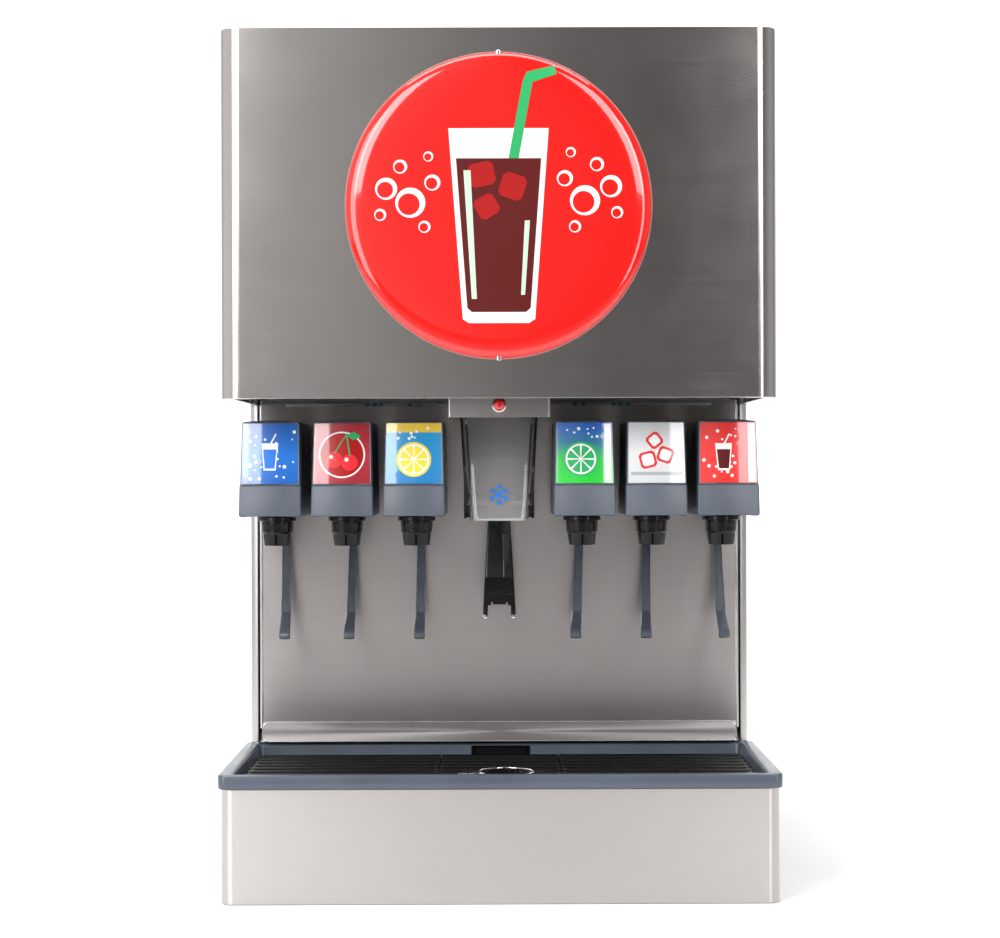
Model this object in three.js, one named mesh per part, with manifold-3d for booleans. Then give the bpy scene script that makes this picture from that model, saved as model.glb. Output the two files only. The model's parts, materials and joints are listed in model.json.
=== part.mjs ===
// Countertop ice and soda dispenser, six valves and an ice chute. Millimetres, +Z up, +X to the right, front at -Y.
// Origin: the middle of the overall box, on the counter. Every mesh is one separate physical piece.
import * as THREE from "three";
import { mergeVertices } from "three/addons/utils/BufferGeometryUtils.js";
import Module from "manifold-3d";

const wasm = await Module();
wasm.setup();

// ---------------------------------------------------------------- driving dimensions
const DEPTH = 778;
const HEIGHT = 876;
const FRONT = -DEPTH / 2;
const REAR = DEPTH / 2;
const SHEET = 1.2;
const GAP = 0.3;

const BASE = { half: 279.5, front: FRONT + 2.4, rear: REAR - 6, top: 114.6, radius: 13 };
const TOWER = { half: 277.5, front: -131.5, rear: REAR - 6, bottom: 116, top: 866, radius: 9, opening: 268.5 };
const HOOD = { half: 280, front: BASE.front + 10, rear: -91.5, bottom: 507, radius: 21, flange: 12 };
const EMBLEM = { radius: 154, z: 696.7, rise: 10.5 };
const LID = { half: 279.5, front: HOOD.rear + GAP, skirt: 850, thickness: 3 };

const TRAY = { half: 281.9, rear: -133, top: 129.6, lip: 114.9, rim: 15.5, ledge: 109.7, floor: 92, wall: 2.5 };
const SUMP = { half: 32, rear: -138, floor: 82, drainY: -250, drainRadius: 12 };
const REST = { half: 264.5, split: 64.3, front: -372, rear: -153.5, top: 118, height: 6, bars: 10, barWidth: 8 };
const DUMP = { radius: 27, x: 6, y: -300 };

const SPLASH = { half: 263.5, face: -137.7, lap: 1.5, seam: 380, top: 506, bend: 152, lipY: -151.5, lipZ: 131.3 };
const VALANCE = { half: 52.5, front: -330, bottom: 486.3, top: 514 };
const LAMP = { z: 498.6, radius: 5.8, reach: 10 };

const VALVE = { first: 88.3, pitch: 74.3, bottom: 385.2, top: 484.4, rear: -178, wall: 2.5 };
const NOZZLE = { y: -234.5, top: 383.5, bottom: 352.3, radius: 17.1 };
const LEVER = { pivotY: -166, pivotZ: 396 };

const BIN = { half: 262, front: -100, rear: 372, bottom: 330, top: 870, wall: 4 };
const SHAFT = { x: 75, z: 560, radius: 7, wheel: 104 };
const OPENING = { half: 30, bottom: 575, top: 642 };
const CHUTE = { wall: 2.5, top: 645, bottom: 379 };
const GATE = { hingeY: -106, hingeZ: 653, arm: 20 };
const ICE_LEVER = { pivotY: -158, pivotZ: 402 };
const DECK = { bottom: 116.3, thickness: 2, postTop: 299.7 };

// ---------------------------------------------------------------- materials
const finish = (color, roughness, metalness, opacity = 1) =>
  new THREE.MeshStandardMaterial({ color, roughness, metalness, opacity, transparent: opacity < 1 });
const STEEL = finish(0xa39d99, 0.35, 1);
const ALUMINIUM = finish(0xb9bcc0, 0.45, 1);
const GREY = finish(0x6f7784, 0.45, 0);
const BLACK = finish(0x1c1c1e, 0.4, 0);
const LEVER_GREY = finish(0x3f444e, 0.35, 0);
const TRAY_GREY = finish(0x4f5a6c, 0.5, 0);
const SMOKED = finish(0x8d8f92, 0.1, 0, 0.35);
const WHITE = finish(0xe8e8e6, 0.5, 0);
const RED = finish(0xe8291f, 0.2, 0);
const LAMP_RED = finish(0xd0141c, 0.15, 0);
const MOTOR = finish(0x2c2f33, 0.5, 0.6);

// ---------------------------------------------------------------- geometry helpers
function toSolid(geometry) {
  const bare = new THREE.BufferGeometry().setAttribute("position", geometry.getAttribute("position"));
  if (geometry.index) bare.setIndex(geometry.index);
  const merged = mergeVertices(bare, 1e-4);
  const vertProperties = new Float32Array(merged.attributes.position.array);
  const triVerts = new Uint32Array(merged.index.array);
  return new wasm.Manifold(new wasm.Mesh({ numProp: 3, vertProperties, triVerts }));
}

function toGeometry(solid) {
  const mesh = solid.getMesh();
  const geometry = new THREE.BufferGeometry();
  geometry.setAttribute("position", new THREE.BufferAttribute(new Float32Array(mesh.vertProperties), 3));
  geometry.setIndex(new THREE.BufferAttribute(new Uint32Array(mesh.triVerts), 1));
  geometry.computeVertexNormals();
  return geometry;
}

const join = (...geometries) => toGeometry(geometries.map(toSolid).reduce((a, b) => a.add(b)));
const cut = (body, ...tools) => toGeometry(tools.map(toSolid).reduce((a, b) => a.subtract(b), toSolid(body)));

// A box from its lowest and highest corners.
function block(x0, x1, y0, y1, z0, z1) {
  return new THREE.BoxGeometry(x1 - x0, y1 - y0, z1 - z0).translate((x0 + x1) / 2, (y0 + y1) / 2, (z0 + z1) / 2);
}

// A cylinder between two heights along "x", "y" or "z"; a and b are its centre on the other two axes, in order.
function rod(axis, a, b, from, to, radius, sides = 16) {
  const geometry = new THREE.CylinderGeometry(radius, radius, to - from, sides).translate(0, (from + to) / 2, 0);
  if (axis === "x") return geometry.rotateZ(-Math.PI / 2).translate(0, a, b);
  if (axis === "y") return geometry.translate(a, 0, b);
  return geometry.rotateX(Math.PI / 2).translate(a, b, 0);
}

// A closed solid through stacked rings that all have the same number of points [x, y, z].
function loft(rings) {
  const count = rings[0].length;
  const positions = rings.flat(2);
  const index = [];
  for (let r = 0; r + 1 < rings.length; r++)
    for (let i = 0; i < count; i++) {
      const next = (i + 1) % count;
      const a = r * count;
      const b = a + count;
      index.push(a + i, a + next, b + next, a + i, b + next, b + i);
    }
  const last = (rings.length - 1) * count;
  for (let i = 1; i + 1 < count; i++) {
    index.push(0, i + 1, i);
    index.push(last, last + i, last + i + 1);
  }
  const geometry = new THREE.BufferGeometry();
  geometry.setAttribute("position", new THREE.Float32BufferAttribute(positions, 3));
  geometry.setIndex(index);
  if (toSolid(geometry).volume() > 0) return geometry;
  for (let i = 0; i < index.length; i += 3) [index[i + 1], index[i + 2]] = [index[i + 2], index[i + 1]];
  geometry.setIndex(index);
  return geometry;
}

// A plan outline extruded upwards from z0 to z1.
function upright(shape, z0, z1, curveSegments = 5) {
  return new THREE.ExtrudeGeometry(shape, { depth: z1 - z0, bevelEnabled: false, curveSegments }).translate(0, 0, z0);
}

// A side outline, drawn in (y, z), extruded across x.
function across(points, x0, x1) {
  const shape = new THREE.Shape(points.map(([y, z]) => new THREE.Vector2(y, z)));
  const geometry = new THREE.ExtrudeGeometry(shape, { depth: x1 - x0, bevelEnabled: false });
  const basis = new THREE.Matrix4().makeBasis(
    new THREE.Vector3(0, 1, 0),
    new THREE.Vector3(0, 0, 1),
    new THREE.Vector3(1, 0, 0),
  );
  return geometry.applyMatrix4(basis).translate(x0, 0, 0);
}

// Plan outline with rounded front corners and square rear corners.
function frontRounded(half, front, rear, radius) {
  const shape = new THREE.Shape();
  shape.moveTo(-half, rear);
  shape.lineTo(-half, front + radius);
  shape.absarc(-half + radius, front + radius, radius, Math.PI, 1.5 * Math.PI, false);
  shape.lineTo(half - radius, front);
  shape.absarc(half - radius, front + radius, radius, 1.5 * Math.PI, 2 * Math.PI, false);
  shape.lineTo(half, rear);
  shape.closePath();
  return shape;
}

// Bent sheet that runs down both sides and round the front.
function bentSheet(half, front, rear, radius, z0, z1) {
  const outer = upright(frontRounded(half, front, rear, radius), z0, z1);
  const inner = frontRounded(half - SHEET, front + SHEET, rear + 5, radius - SHEET);
  return cut(outer, upright(inner, z0 - 1, z1 + 1));
}

const machine = new THREE.Group();
function piece(name, geometry, material, place = [0, 0, 0]) {
  const mesh = new THREE.Mesh(geometry, material);
  mesh.name = name;
  mesh.position.set(...place);
  machine.add(mesh);
  return mesh;
}

// ---------------------------------------------------------------- base
function basePan() {
  const half = BASE.half - SHEET - GAP;
  const front = BASE.front + SHEET + GAP;
  const outer = upright(frontRounded(half, front, BASE.rear, BASE.radius - SHEET - GAP), 0, 22);
  const inside = frontRounded(half - 2, front + 2, BASE.rear - 2, BASE.radius - SHEET - GAP - 2);
  return cut(outer, upright(inside, 2, 30), rod("z", 0, 60, -1, 3, 30, 16));
}

function deck() {
  const plate = block(-272, 272, TOWER.front + 8, TOWER.rear - 4, DECK.bottom, DECK.bottom + DECK.thickness);
  const posts = [];
  for (const x of [-1, 1])
    for (const y of [-85, 345]) posts.push(block(x * 235 - 10, x * 235 + 10, y - 10, y + 10, DECK.bottom, DECK.postTop));
  return join(plate, ...posts);
}

piece("base_pan", basePan(), STEEL);
piece("base_wrap", bentSheet(BASE.half, BASE.front, BASE.rear, BASE.radius, 0, BASE.top), STEEL);
piece("chassis_deck", deck(), STEEL);

// A corrugated drain tube with a funnel under the tray's drain, out to the back.
function drainPipe() {
  const y = SUMP.drainY;
  const funnel = rod("z", 0, y, 40, 74, 20, 14);
  const run = rod("y", 0, 52, y, BASE.rear, 11, 12);
  return cut(join(funnel, run), rod("z", 0, y, 50, 80, 17, 14), rod("y", 0, 52, y + 4, BASE.rear + 1, 8, 12));
}
piece("drain_pipe", drainPipe(), WHITE);

// ---------------------------------------------------------------- tower, bin and cold plate
function towerWrap() {
  const { half, front, rear, radius, opening } = TOWER;
  const outer = upright(frontRounded(half, front, rear, radius), TOWER.bottom, TOWER.top);
  const inner = frontRounded(half - SHEET, front + SHEET, rear - SHEET, radius - SHEET);
  const mouth = block(-opening, opening, front - 1, front + 5, TOWER.bottom - 1, TOWER.top + 1);
  const access = block(-180, 180, rear - 5, rear + 1, 150, 430);
  return cut(outer, upright(inner, TOWER.bottom - 1, TOWER.top + 1), mouth, access);
}

function backPanel() {
  const y = TOWER.rear + GAP;
  const vents = [];
  for (let i = 0; i < 6; i++) vents.push(block(-120, 120, y - 1, y + 4, 330 + 14 * i, 334 + 14 * i));
  const inletHole = block(-152, -98, y - 1, y + 4, 178, 212);
  return cut(block(-190, 190, y, y + 1.5, 140, 440), ...vents, inletHole);
}

function powerInlet() {
  const y = TOWER.rear + GAP + 1.5 + GAP;
  const flange = block(-156, -94, y, REAR, 174, 216);
  const barrel = block(-149, -101, y - 26, y + 1, 181, 209);
  const socket = block(-140, -110, y - 18, REAR + 1, 186, 204);
  return cut(join(flange, barrel), socket);
}

function binLiner() {
  const { half, front, rear, bottom, top, wall } = BIN;
  const tub = block(-half, half, front, rear, bottom, top);
  const rim = block(-274, 274, TOWER.front + 3, TOWER.rear - 2, TOWER.top + GAP, top);
  const hollow = block(-half + wall, half - wall, front + wall, rear - wall, bottom + wall, top + 1);
  const mouth = block(-OPENING.half, OPENING.half, front - 1, front + wall + 1, OPENING.bottom, OPENING.top);
  const shaftHole = rod("y", SHAFT.x, SHAFT.z, front - 1, front + wall + 1, SHAFT.radius + 3, 12);
  const drain = rod("z", 0, 300, bottom - 1, bottom + wall + 1, 14, 12);
  const { hingeY, hingeZ } = GATE;
  const lugs = [-42, 39].map((x) => block(x, x + 3, hingeY - 6, front + 1, hingeZ - 6, hingeZ + 6));
  const pinHole = rod("x", hingeY, hingeZ, -50, 50, 3.5, 10);
  return cut(join(tub, rim, ...lugs), hollow, mouth, shaftHole, drain, pinHole);
}

function coldPlate() {
  const slab = block(-232, 232, BIN.front + 12, BIN.rear - 12, 300, 329.7);
  const fins = [];
  for (let i = -2; i <= 2; i++) fins.push(block(i * 80 - 6, i * 80 + 6, BIN.front + 2, BIN.front + 13, 306, 318));
  return join(slab, ...fins);
}

piece("tower_wrap", towerWrap(), STEEL);
piece("back_panel", backPanel(), STEEL);
piece("power_inlet", powerInlet(), BLACK);
piece("bin_liner", binLiner(), WHITE);
piece("cold_plate", coldPlate(), ALUMINIUM);

function electricalBox() {
  const top = DECK.bottom + DECK.thickness;
  const body = block(-205, -65, 90, 210, top + GAP, 250);
  return join(body, block(-209, -61, 86, 214, 250, 254), rod("y", -100, 190, 205, 232, 9, 12));
}
piece("electrical_box", electricalBox(), STEEL);

// ---------------------------------------------------------------- ice drive
function gearMotor() {
  const face = BIN.front - GAP;
  const gearcase = block(SHAFT.x - 30, SHAFT.x + 60, face - 46, face, 516, 606);
  const motor = rod("y", SHAFT.x + 8, 560, face - 138, face - 40, 38, 20);
  const cap = rod("y", SHAFT.x + 8, 560, face - 146, face - 130, 20, 16);
  return cut(join(gearcase, motor, cap), rod("y", SHAFT.x, SHAFT.z, face - 30, face + 1, SHAFT.radius + 0.5, 16));
}

function iceWheel() {
  const y0 = BIN.front + BIN.wall + 3;
  const disc = rod("y", SHAFT.x, SHAFT.z, y0 + 36, y0 + 39, SHAFT.wheel, 24);
  const hub = rod("y", SHAFT.x, SHAFT.z, y0, y0 + 50, 16, 12);
  const vanes = [];
  for (let i = 0; i < 8; i++) {
    const vane = block(12, SHAFT.wheel - 2, y0, y0 + 37, -1.5, 1.5);
    vanes.push(vane.rotateY((i * Math.PI) / 4).translate(SHAFT.x, 0, SHAFT.z));
  }
  return cut(join(disc, hub, ...vanes), rod("y", SHAFT.x, SHAFT.z, y0 - 1, y0 + 51, SHAFT.radius + GAP, 16));
}

function agitator() {
  const shaft = rod("y", SHAFT.x, SHAFT.z, BIN.front - 28, 330, SHAFT.radius, 12);
  const bars = [];
  for (let i = 0; i < 4; i++) {
    const arm = rod("x", 40 + 85 * i, 0, -150, 150, 5, 8).rotateY((i * Math.PI) / 4);
    bars.push(arm.translate(SHAFT.x, 0, SHAFT.z));
  }
  return join(shaft, ...bars);
}

piece("gear_motor", gearMotor(), MOTOR);
piece("ice_wheel", iceWheel(), WHITE);
piece("agitator_shaft", agitator(), STEEL);

// The gate hangs on a pin over the bin's mouth; an arm sticks out forwards for the solenoid to lift.
function iceGate() {
  const { hingeY, hingeZ, arm } = GATE;
  const flap = block(-34, 34, hingeY - 1.2, hingeY + 1.2, 570, hingeZ);
  const pin = rod("x", hingeY, hingeZ, -43, 43, 3, 10);
  const lug = block(-5, 5, hingeY - arm - 4, hingeY, hingeZ - 2.5, hingeZ + 2.5);
  return join(flap, pin, lug);
}

function gateSolenoid() {
  const y = GATE.hingeY - GATE.arm;
  const coil = block(-17, 17, y - 15, y + 15, 700, 742);
  const bracket = block(-22, 22, y + 13, BIN.front - GAP, 692, 750);
  return cut(join(coil, bracket), rod("z", 0, y, 690, 752, 5.5, 12));
}

function gatePlunger() {
  const y = GATE.hingeY - GATE.arm;
  return join(rod("z", 0, y, 662, 728, 5, 12), block(-7, 7, y - 6, y + 6, 656.8, 668));
}

piece("ice_gate", iceGate(), BLACK);
piece("gate_solenoid", gateSolenoid(), MOTOR);
piece("gate_plunger", gatePlunger(), STEEL);

// ---------------------------------------------------------------- ice chute and its lever
// Each level of the chute: half width at the sides, half width of the front pane, its front, its rear and its height.
const CHUTE_LEVELS = [
  { side: 42, pane: 34, front: -200, rear: -107, z: CHUTE.top },
  { side: 42, pane: 34, front: -214, rear: -107, z: 530 },
  { side: 41, pane: 30, front: -224, rear: -142, z: 508 },
  { side: 30.5, pane: 18.5, front: -250, rear: -196, z: 396 },
  { side: 29, pane: 15.5, front: -254, rear: -200, z: CHUTE.bottom },
];

const chuteRing = ({ side, pane, front, rear, z }, inset) => [
  [-side + inset, rear - inset, z],
  [side - inset, rear - inset, z],
  [side - inset, front + 16, z],
  [pane - inset / 2, front + inset, z],
  [-pane + inset / 2, front + inset, z],
  [-side + inset, front + 16, z],
];

function iceChute() {
  const { wall, top, bottom } = CHUTE;
  const outer = loft(CHUTE_LEVELS.map((level) => chuteRing(level, 0)));
  const levels = [...CHUTE_LEVELS.map((level) => ({ ...level }))];
  levels[0].z = top + 2;
  levels[levels.length - 1].z = bottom - 2;
  const inner = loft(levels.map((level) => chuteRing(level, wall)));
  const inlet = block(-36, 36, -120, -100, 560, top + 3);
  return cut(outer, inner, inlet);
}

// Two ears and a back plate behind the chute's mouth; the lever's pin turns in the ears.
function chuteGuard() {
  const back = SPLASH.face - SPLASH.lap - GAP;
  const { pivotY, pivotZ } = ICE_LEVER;
  const ear = [[back, 379.4], [-182, 379.4], [-189, 386], [-189, 410], [-183, 416], [back, 416]];
  const plate = block(-38.3, 38.3, back - 2.4, back, 379.4, 393);
  const body = join(across(ear, -38.3, -35.5), across(ear, 35.5, 38.3), plate);
  return cut(body, rod("x", pivotY, pivotZ, -50, 50, 4.2, 12));
}

// A lever's plan: half width, y and z of each station down its length; thickness runs front to back.
function leverBlade(stations, thickness) {
  return loft(
    stations.map(({ half, y, z }) => [
      [-half, y, z],
      [half, y, z],
      [half, y - thickness, z + 0.3 * thickness],
      [-half, y - thickness, z + 0.3 * thickness],
    ]),
  );
}

function iceLever() {
  const { pivotY, pivotZ } = ICE_LEVER;
  const stations = [
    { half: 11, y: pivotY + 2, z: pivotZ - 2 },
    { half: 12.3, y: -157, z: 376 },
    { half: 14.5, y: -165, z: 345 },
    { half: 16.2, y: -177, z: 322 },
    { half: 16.8, y: -197, z: 297 },
    { half: 17, y: -214, z: 276 },
  ];
  const fork = block(-11.5, 11.5, -240, -185, 260, 291);
  const pin = rod("x", pivotY, pivotZ, -38, 38, 3.8, 12);
  return join(cut(leverBlade(stations, 5), fork), pin);
}

piece("ice_chute", iceChute(), SMOKED);
piece("chute_guard", chuteGuard(), BLACK);
piece("ice_lever", iceLever(), BLACK);

// ---------------------------------------------------------------- splash panels, valance and lamp
function splashUpper() {
  const y = SPLASH.face - SPLASH.lap;
  const face = block(-SPLASH.half, SPLASH.half, y, y + SHEET, SPLASH.seam, SPLASH.top);
  const edge = block(-SPLASH.half, -SPLASH.half + SHEET, y, TOWER.front - GAP, 398, SPLASH.top);
  const other = edge.clone().translate(2 * SPLASH.half - SHEET, 0, 0);
  return join(face, edge, other);
}

function splashLower() {
  const { half, face, bend, lipY, lipZ, seam } = SPLASH;
  const outline = [
    [face, seam + 12],
    [face, bend],
    [lipY, lipZ],
    [lipY + SHEET, lipZ],
    [face + SHEET, bend - 0.5],
    [face + SHEET, seam + 12],
  ];
  const sheet = across(outline, -half, half);
  const corners = [-1, 1].map((side) => {
    const trim = new THREE.Shape();
    trim.moveTo(side * (half + 1), lipZ - 1);
    trim.lineTo(side * (half - 9), lipZ - 1);
    trim.absarc(side * (half - 9), lipZ + 9, 9, -Math.PI / 2, side > 0 ? 0 : -Math.PI, side < 0);
    trim.lineTo(side * (half + 1), lipZ + 9);
    trim.closePath();
    const slab = new THREE.ExtrudeGeometry(trim, { depth: 40, bevelEnabled: false, curveSegments: 4 });
    return slab.rotateX(Math.PI / 2).translate(0, face + 10, 0);
  });
  return cut(sheet, ...corners);
}

function valance() {
  const rear = SPLASH.face - SPLASH.lap - GAP;
  return bentSheet(VALANCE.half, VALANCE.front, rear, 2.5, VALANCE.bottom, VALANCE.top);
}

// A lathe turned about the y axis, its profile given as [radius, distance in front of y].
function turnedForward(profile, x, y, z, segments) {
  const points = profile.map(([radius, out]) => new THREE.Vector2(radius, out));
  return new THREE.LatheGeometry(points, segments).rotateX(Math.PI).translate(x, y, z);
}

function pilotLamp() {
  const { radius, reach } = LAMP;
  const profile = [
    [0, 0],
    [radius + 1.4, 0],
    [radius + 1.4, 2],
    [radius, 2.6],
    [radius, reach - 2.5],
    [radius - 2.2, reach],
    [0, reach],
  ];
  return turnedForward(profile, 0, VALANCE.front - GAP, LAMP.z, 16);
}

piece("splash_upper", splashUpper(), STEEL);
piece("splash_lower", splashLower(), STEEL);
piece("lamp_valance", valance(), STEEL);
piece("pilot_lamp", pilotLamp(), LAMP_RED);

// ---------------------------------------------------------------- drip tray and cup rests
function dripTray() {
  const { half, rear, top, lip, rim, ledge, floor, wall } = TRAY;
  const inner = half - rim;
  const front = FRONT + rim;
  const back = -146;
  const crown = upright(frontRounded(half, FRONT, rear, 8), lip, top, 4);
  const basin = block(-inner + 1 - wall, inner - 1 + wall, front + 1 - wall, back + wall, floor - wall, lip + 1);
  const sump = block(-SUMP.half - wall, SUMP.half + wall, -340 - wall, SUMP.rear + wall, SUMP.floor - wall, lip + 1);
  const spigot = rod("z", 0, SUMP.drainY, 76, SUMP.floor, SUMP.drainRadius + 2.5, 16);
  const mouth = frontRounded(inner, front, back, 5);
  const hollow = upright(mouth, ledge, top + 1, 3);
  const well = block(-inner + 6, inner - 6, front + 6, back - 12, floor, ledge + 1);
  const gutter = block(-SUMP.half, SUMP.half, -340, back - 3, SUMP.floor, floor + 1);
  const recess = block(-SUMP.half, SUMP.half, back - 7, SUMP.rear, SUMP.floor, top - 3);
  const drain = rod("z", 0, SUMP.drainY, 70, SUMP.floor + 1, SUMP.drainRadius, 16);
  return cut(join(crown, basin, sump, spigot), hollow, well, gutter, recess, drain);
}

// Bars across the tray, tied together by a cross bar at each end; with a dump hole where asked.
function cupRest(x0, x1, dump) {
  const { front, rear, top, height, bars, barWidth } = REST;
  const pitch = (rear - front - barWidth) / (bars - 1);
  const made = [];
  for (let i = 0; i < bars; i++) {
    const y = front + i * pitch;
    const section = [
      [y, top - height],
      [y + barWidth, top - height],
      [y + barWidth, top - 1.6],
      [y + barWidth - 2, top],
      [y + 2, top],
      [y, top - 1.6],
    ];
    made.push(across(section, x0, x1));
  }
  for (const x of [x0, x1 - 5]) made.push(block(x, x + 5, front, rear, REST.top - height - 2, top - 1));
  if (!dump) return join(...made);
  const collar = rod("z", DUMP.x, DUMP.y, top - height, top, DUMP.radius + 3, 24);
  return cut(join(...made, collar), rod("z", DUMP.x, DUMP.y, top - height - 3, top + 1, DUMP.radius, 24));
}

piece("drip_tray", dripTray(), TRAY_GREY);
piece("cup_rest_left", cupRest(-REST.half, -REST.split - GAP, false), BLACK);
piece("cup_rest_middle", cupRest(-REST.split, REST.split, true), BLACK);
piece("cup_rest_right", cupRest(REST.split + GAP, REST.half, false), BLACK);

// ---------------------------------------------------------------- hood and lid
function hoodShell() {
  const { half, front, rear, bottom, radius, flange } = HOOD;
  const outer = upright(frontRounded(half, front, rear, radius), bottom, HEIGHT);
  const inner = frontRounded(half - SHEET, front + SHEET, rear + 5, radius - SHEET);
  const mouth = frontRounded(half - flange, front + flange, TOWER.front, radius - flange);
  const slot = block(-half + SHEET, half - SHEET, TOWER.front - 4, rear + 5, bottom - 1, bottom + 3);
  return cut(
    outer,
    upright(inner, bottom + SHEET, HEIGHT - SHEET),
    upright(mouth, bottom - 1, bottom + 3),
    slot,
  );
}

function emblem() {
  const { radius, rise } = EMBLEM;
  const profile = [[0, 0], [radius, 0], [radius, 2.2]];
  const shoulder = 26;
  for (const step of [0.35, 0.7, 1]) {
    const angle = (step * Math.PI) / 2;
    profile.push([radius - shoulder * (1 - Math.cos(angle)), 2.2 + (rise - 3.7) * Math.sin(angle)]);
  }
  profile.push([0, rise]);
  return turnedForward(profile, 0, HOOD.front - GAP, EMBLEM.z, 40);
}

function binLid() {
  const { half, front, skirt, thickness } = LID;
  const outer = block(-half, half, front, REAR - 1, skirt, HEIGHT);
  const inner = block(-half + 1.5, half - 1.5, front - 5, REAR - 2.5, skirt - 1, HEIGHT - thickness);
  const grip = block(-60, 60, 120, 160, HEIGHT - 1.5, HEIGHT + 1);
  return cut(outer, inner, grip);
}

piece("hood_shell", hoodShell(), STEEL);
piece("hood_emblem", emblem(), RED);
piece("bin_lid", binLid(), BLACK);

// ---------------------------------------------------------------- one dispensing valve, centred on x = 0
// Plan outline of the cover at one height: a gently bowed front with small corners and a flat rear.
function coverRing(half, front, rear, bow, z, flat = 5) {
  const ring = [[half, rear, z], [half, front + 4, z]];
  for (let i = 0; i <= flat; i++) {
    const t = 1 - (2 * i) / flat;
    ring.push([t * (half - 3), front - bow * (1 - t * t), z]);
  }
  ring.push([-half, front + 4, z], [-half, rear, z]);
  return ring;
}

const COVER_LEVELS = [
  { half: 32, front: -313, z: VALVE.bottom },
  { half: 31.6, front: -310.5, z: 417 },
  { half: 31, front: -307.5, z: 418.5 },
  { half: 29.9, front: -298.5, z: VALVE.top },
];

function valveCover() {
  const { rear, wall, bottom } = VALVE;
  const outer = loft(COVER_LEVELS.map(({ half, front, z }) => coverRing(half, front, rear, 2.5, z)));
  const inner = loft([
    coverRing(32 - wall, -313 + wall, rear + 2, 2.5, bottom - 1),
    coverRing(29.9 - wall, -298.5 + wall, rear + 2, 2.5, VALVE.top - wall),
  ]);
  return cut(outer, inner);
}

function valveBody() {
  const plate = block(-26, 26, -284, VALVE.rear, 388, 402);
  const core = block(-24, 24, -262, VALVE.rear, 402, 432);
  const coils = [-13, 13].map((x) => rod("z", x, -214, 430, 468, 11, 12));
  const screws = [-13, 13].map((x) => rod("z", x, -252, 430, 448, 5.5, 8));
  const neck = rod("z", 0, NOZZLE.y, 376, 390, 11.5, 14);
  const hangers = [-19, 16].map((x) => block(x, x + 3, -200, LEVER.pivotY + 13, 388, 404));
  const pinHoles = rod("x", LEVER.pivotY, LEVER.pivotZ, -30, 30, 3.4, 12);
  return cut(join(plate, core, ...coils, ...screws, neck, ...hangers), pinHoles);
}

function mountBlock() {
  const back = SPLASH.face - SPLASH.lap - GAP;
  const slab = block(-24, 24, VALVE.rear + GAP, back, 412, 466);
  const foot = block(-24, 24, -152, back, 400, 413);
  return cut(join(slab, foot), ...[-12, 12].map((x) => rod("y", x, 446, VALVE.rear, back + 1, 5, 10)));
}

function nozzle() {
  const { y, top, bottom, radius } = NOZZLE;
  const profile = [
    [12, bottom + 4],
    [13.9, bottom],
    [radius - 0.6, top - 9],
    [radius, top - 5],
    [radius + 3, top - 4.5],
    [radius + 3, top],
    [12, top],
    [12, bottom + 4],
  ].map(([r, z]) => new THREE.Vector2(r, z));
  return new THREE.LatheGeometry(profile, 14).rotateX(Math.PI / 2).translate(0, y, 0);
}

function valveLever() {
  const { pivotY, pivotZ } = LEVER;
  const stations = [
    { half: 4, y: pivotY + 3, z: pivotZ - 1 },
    { half: 4, y: -152, z: 372 },
    { half: 4, y: -152.5, z: 349 },
    { half: 4.4, y: -158, z: 315 },
    { half: 5.2, y: -172, z: 279 },
    { half: 5.8, y: -208, z: 256 },
    { half: 5.9, y: -210, z: 251.5 },
  ];
  const pin = rod("x", pivotY, pivotZ, -20.5, 20.5, 3, 12);
  return join(leverBlade(stations, 5), pin);
}

const cover = valveCover();
const body = valveBody();
const mount = mountBlock();
const spout = nozzle();
const paddle = valveLever();
const centres = [2, 1, 0].map((i) => -VALVE.first - i * VALVE.pitch);
centres.push(...[0, 1, 2].map((i) => VALVE.first + i * VALVE.pitch));
centres.forEach((x, i) => {
  const n = i + 1;
  piece(`valve_mount_${n}`, mount.clone(), BLACK, [x, 0, 0]);
  piece(`valve_body_${n}`, body.clone(), BLACK, [x, 0, 0]);
  piece(`valve_cover_${n}`, cover.clone(), GREY, [x, 0, 0]);
  piece(`nozzle_${n}`, spout.clone(), BLACK, [x, 0, 0]);
  piece(`valve_lever_${n}`, paddle.clone(), LEVER_GREY, [x, 0, 0]);
});

export default machine;
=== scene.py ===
"""Countertop ice and soda dispenser: the pieces that are seen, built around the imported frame.

Helpers take millimetres and the row frame: +X to the right, front at -Y, +Z up, origin on the counter.
"""

import json
import math
import random

import bmesh
import bpy
from mathutils import Matrix, Vector


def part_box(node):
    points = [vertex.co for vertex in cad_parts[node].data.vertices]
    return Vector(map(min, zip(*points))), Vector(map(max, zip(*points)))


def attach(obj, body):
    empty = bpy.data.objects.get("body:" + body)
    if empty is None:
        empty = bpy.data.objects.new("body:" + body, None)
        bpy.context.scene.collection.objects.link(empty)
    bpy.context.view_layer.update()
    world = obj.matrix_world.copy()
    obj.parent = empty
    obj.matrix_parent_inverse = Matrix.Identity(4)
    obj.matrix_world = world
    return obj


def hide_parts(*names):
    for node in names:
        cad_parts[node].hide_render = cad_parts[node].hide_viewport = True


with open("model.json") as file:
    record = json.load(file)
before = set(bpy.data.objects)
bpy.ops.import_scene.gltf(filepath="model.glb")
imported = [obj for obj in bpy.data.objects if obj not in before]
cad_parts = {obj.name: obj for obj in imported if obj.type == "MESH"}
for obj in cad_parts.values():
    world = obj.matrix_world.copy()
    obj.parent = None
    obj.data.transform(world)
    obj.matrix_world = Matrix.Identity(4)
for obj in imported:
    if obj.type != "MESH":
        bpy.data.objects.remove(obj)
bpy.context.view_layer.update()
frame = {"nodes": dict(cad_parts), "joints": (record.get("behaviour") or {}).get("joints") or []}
random.seed(7)

MM = 0.001
UP = Vector((0, 0, 1))


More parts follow.
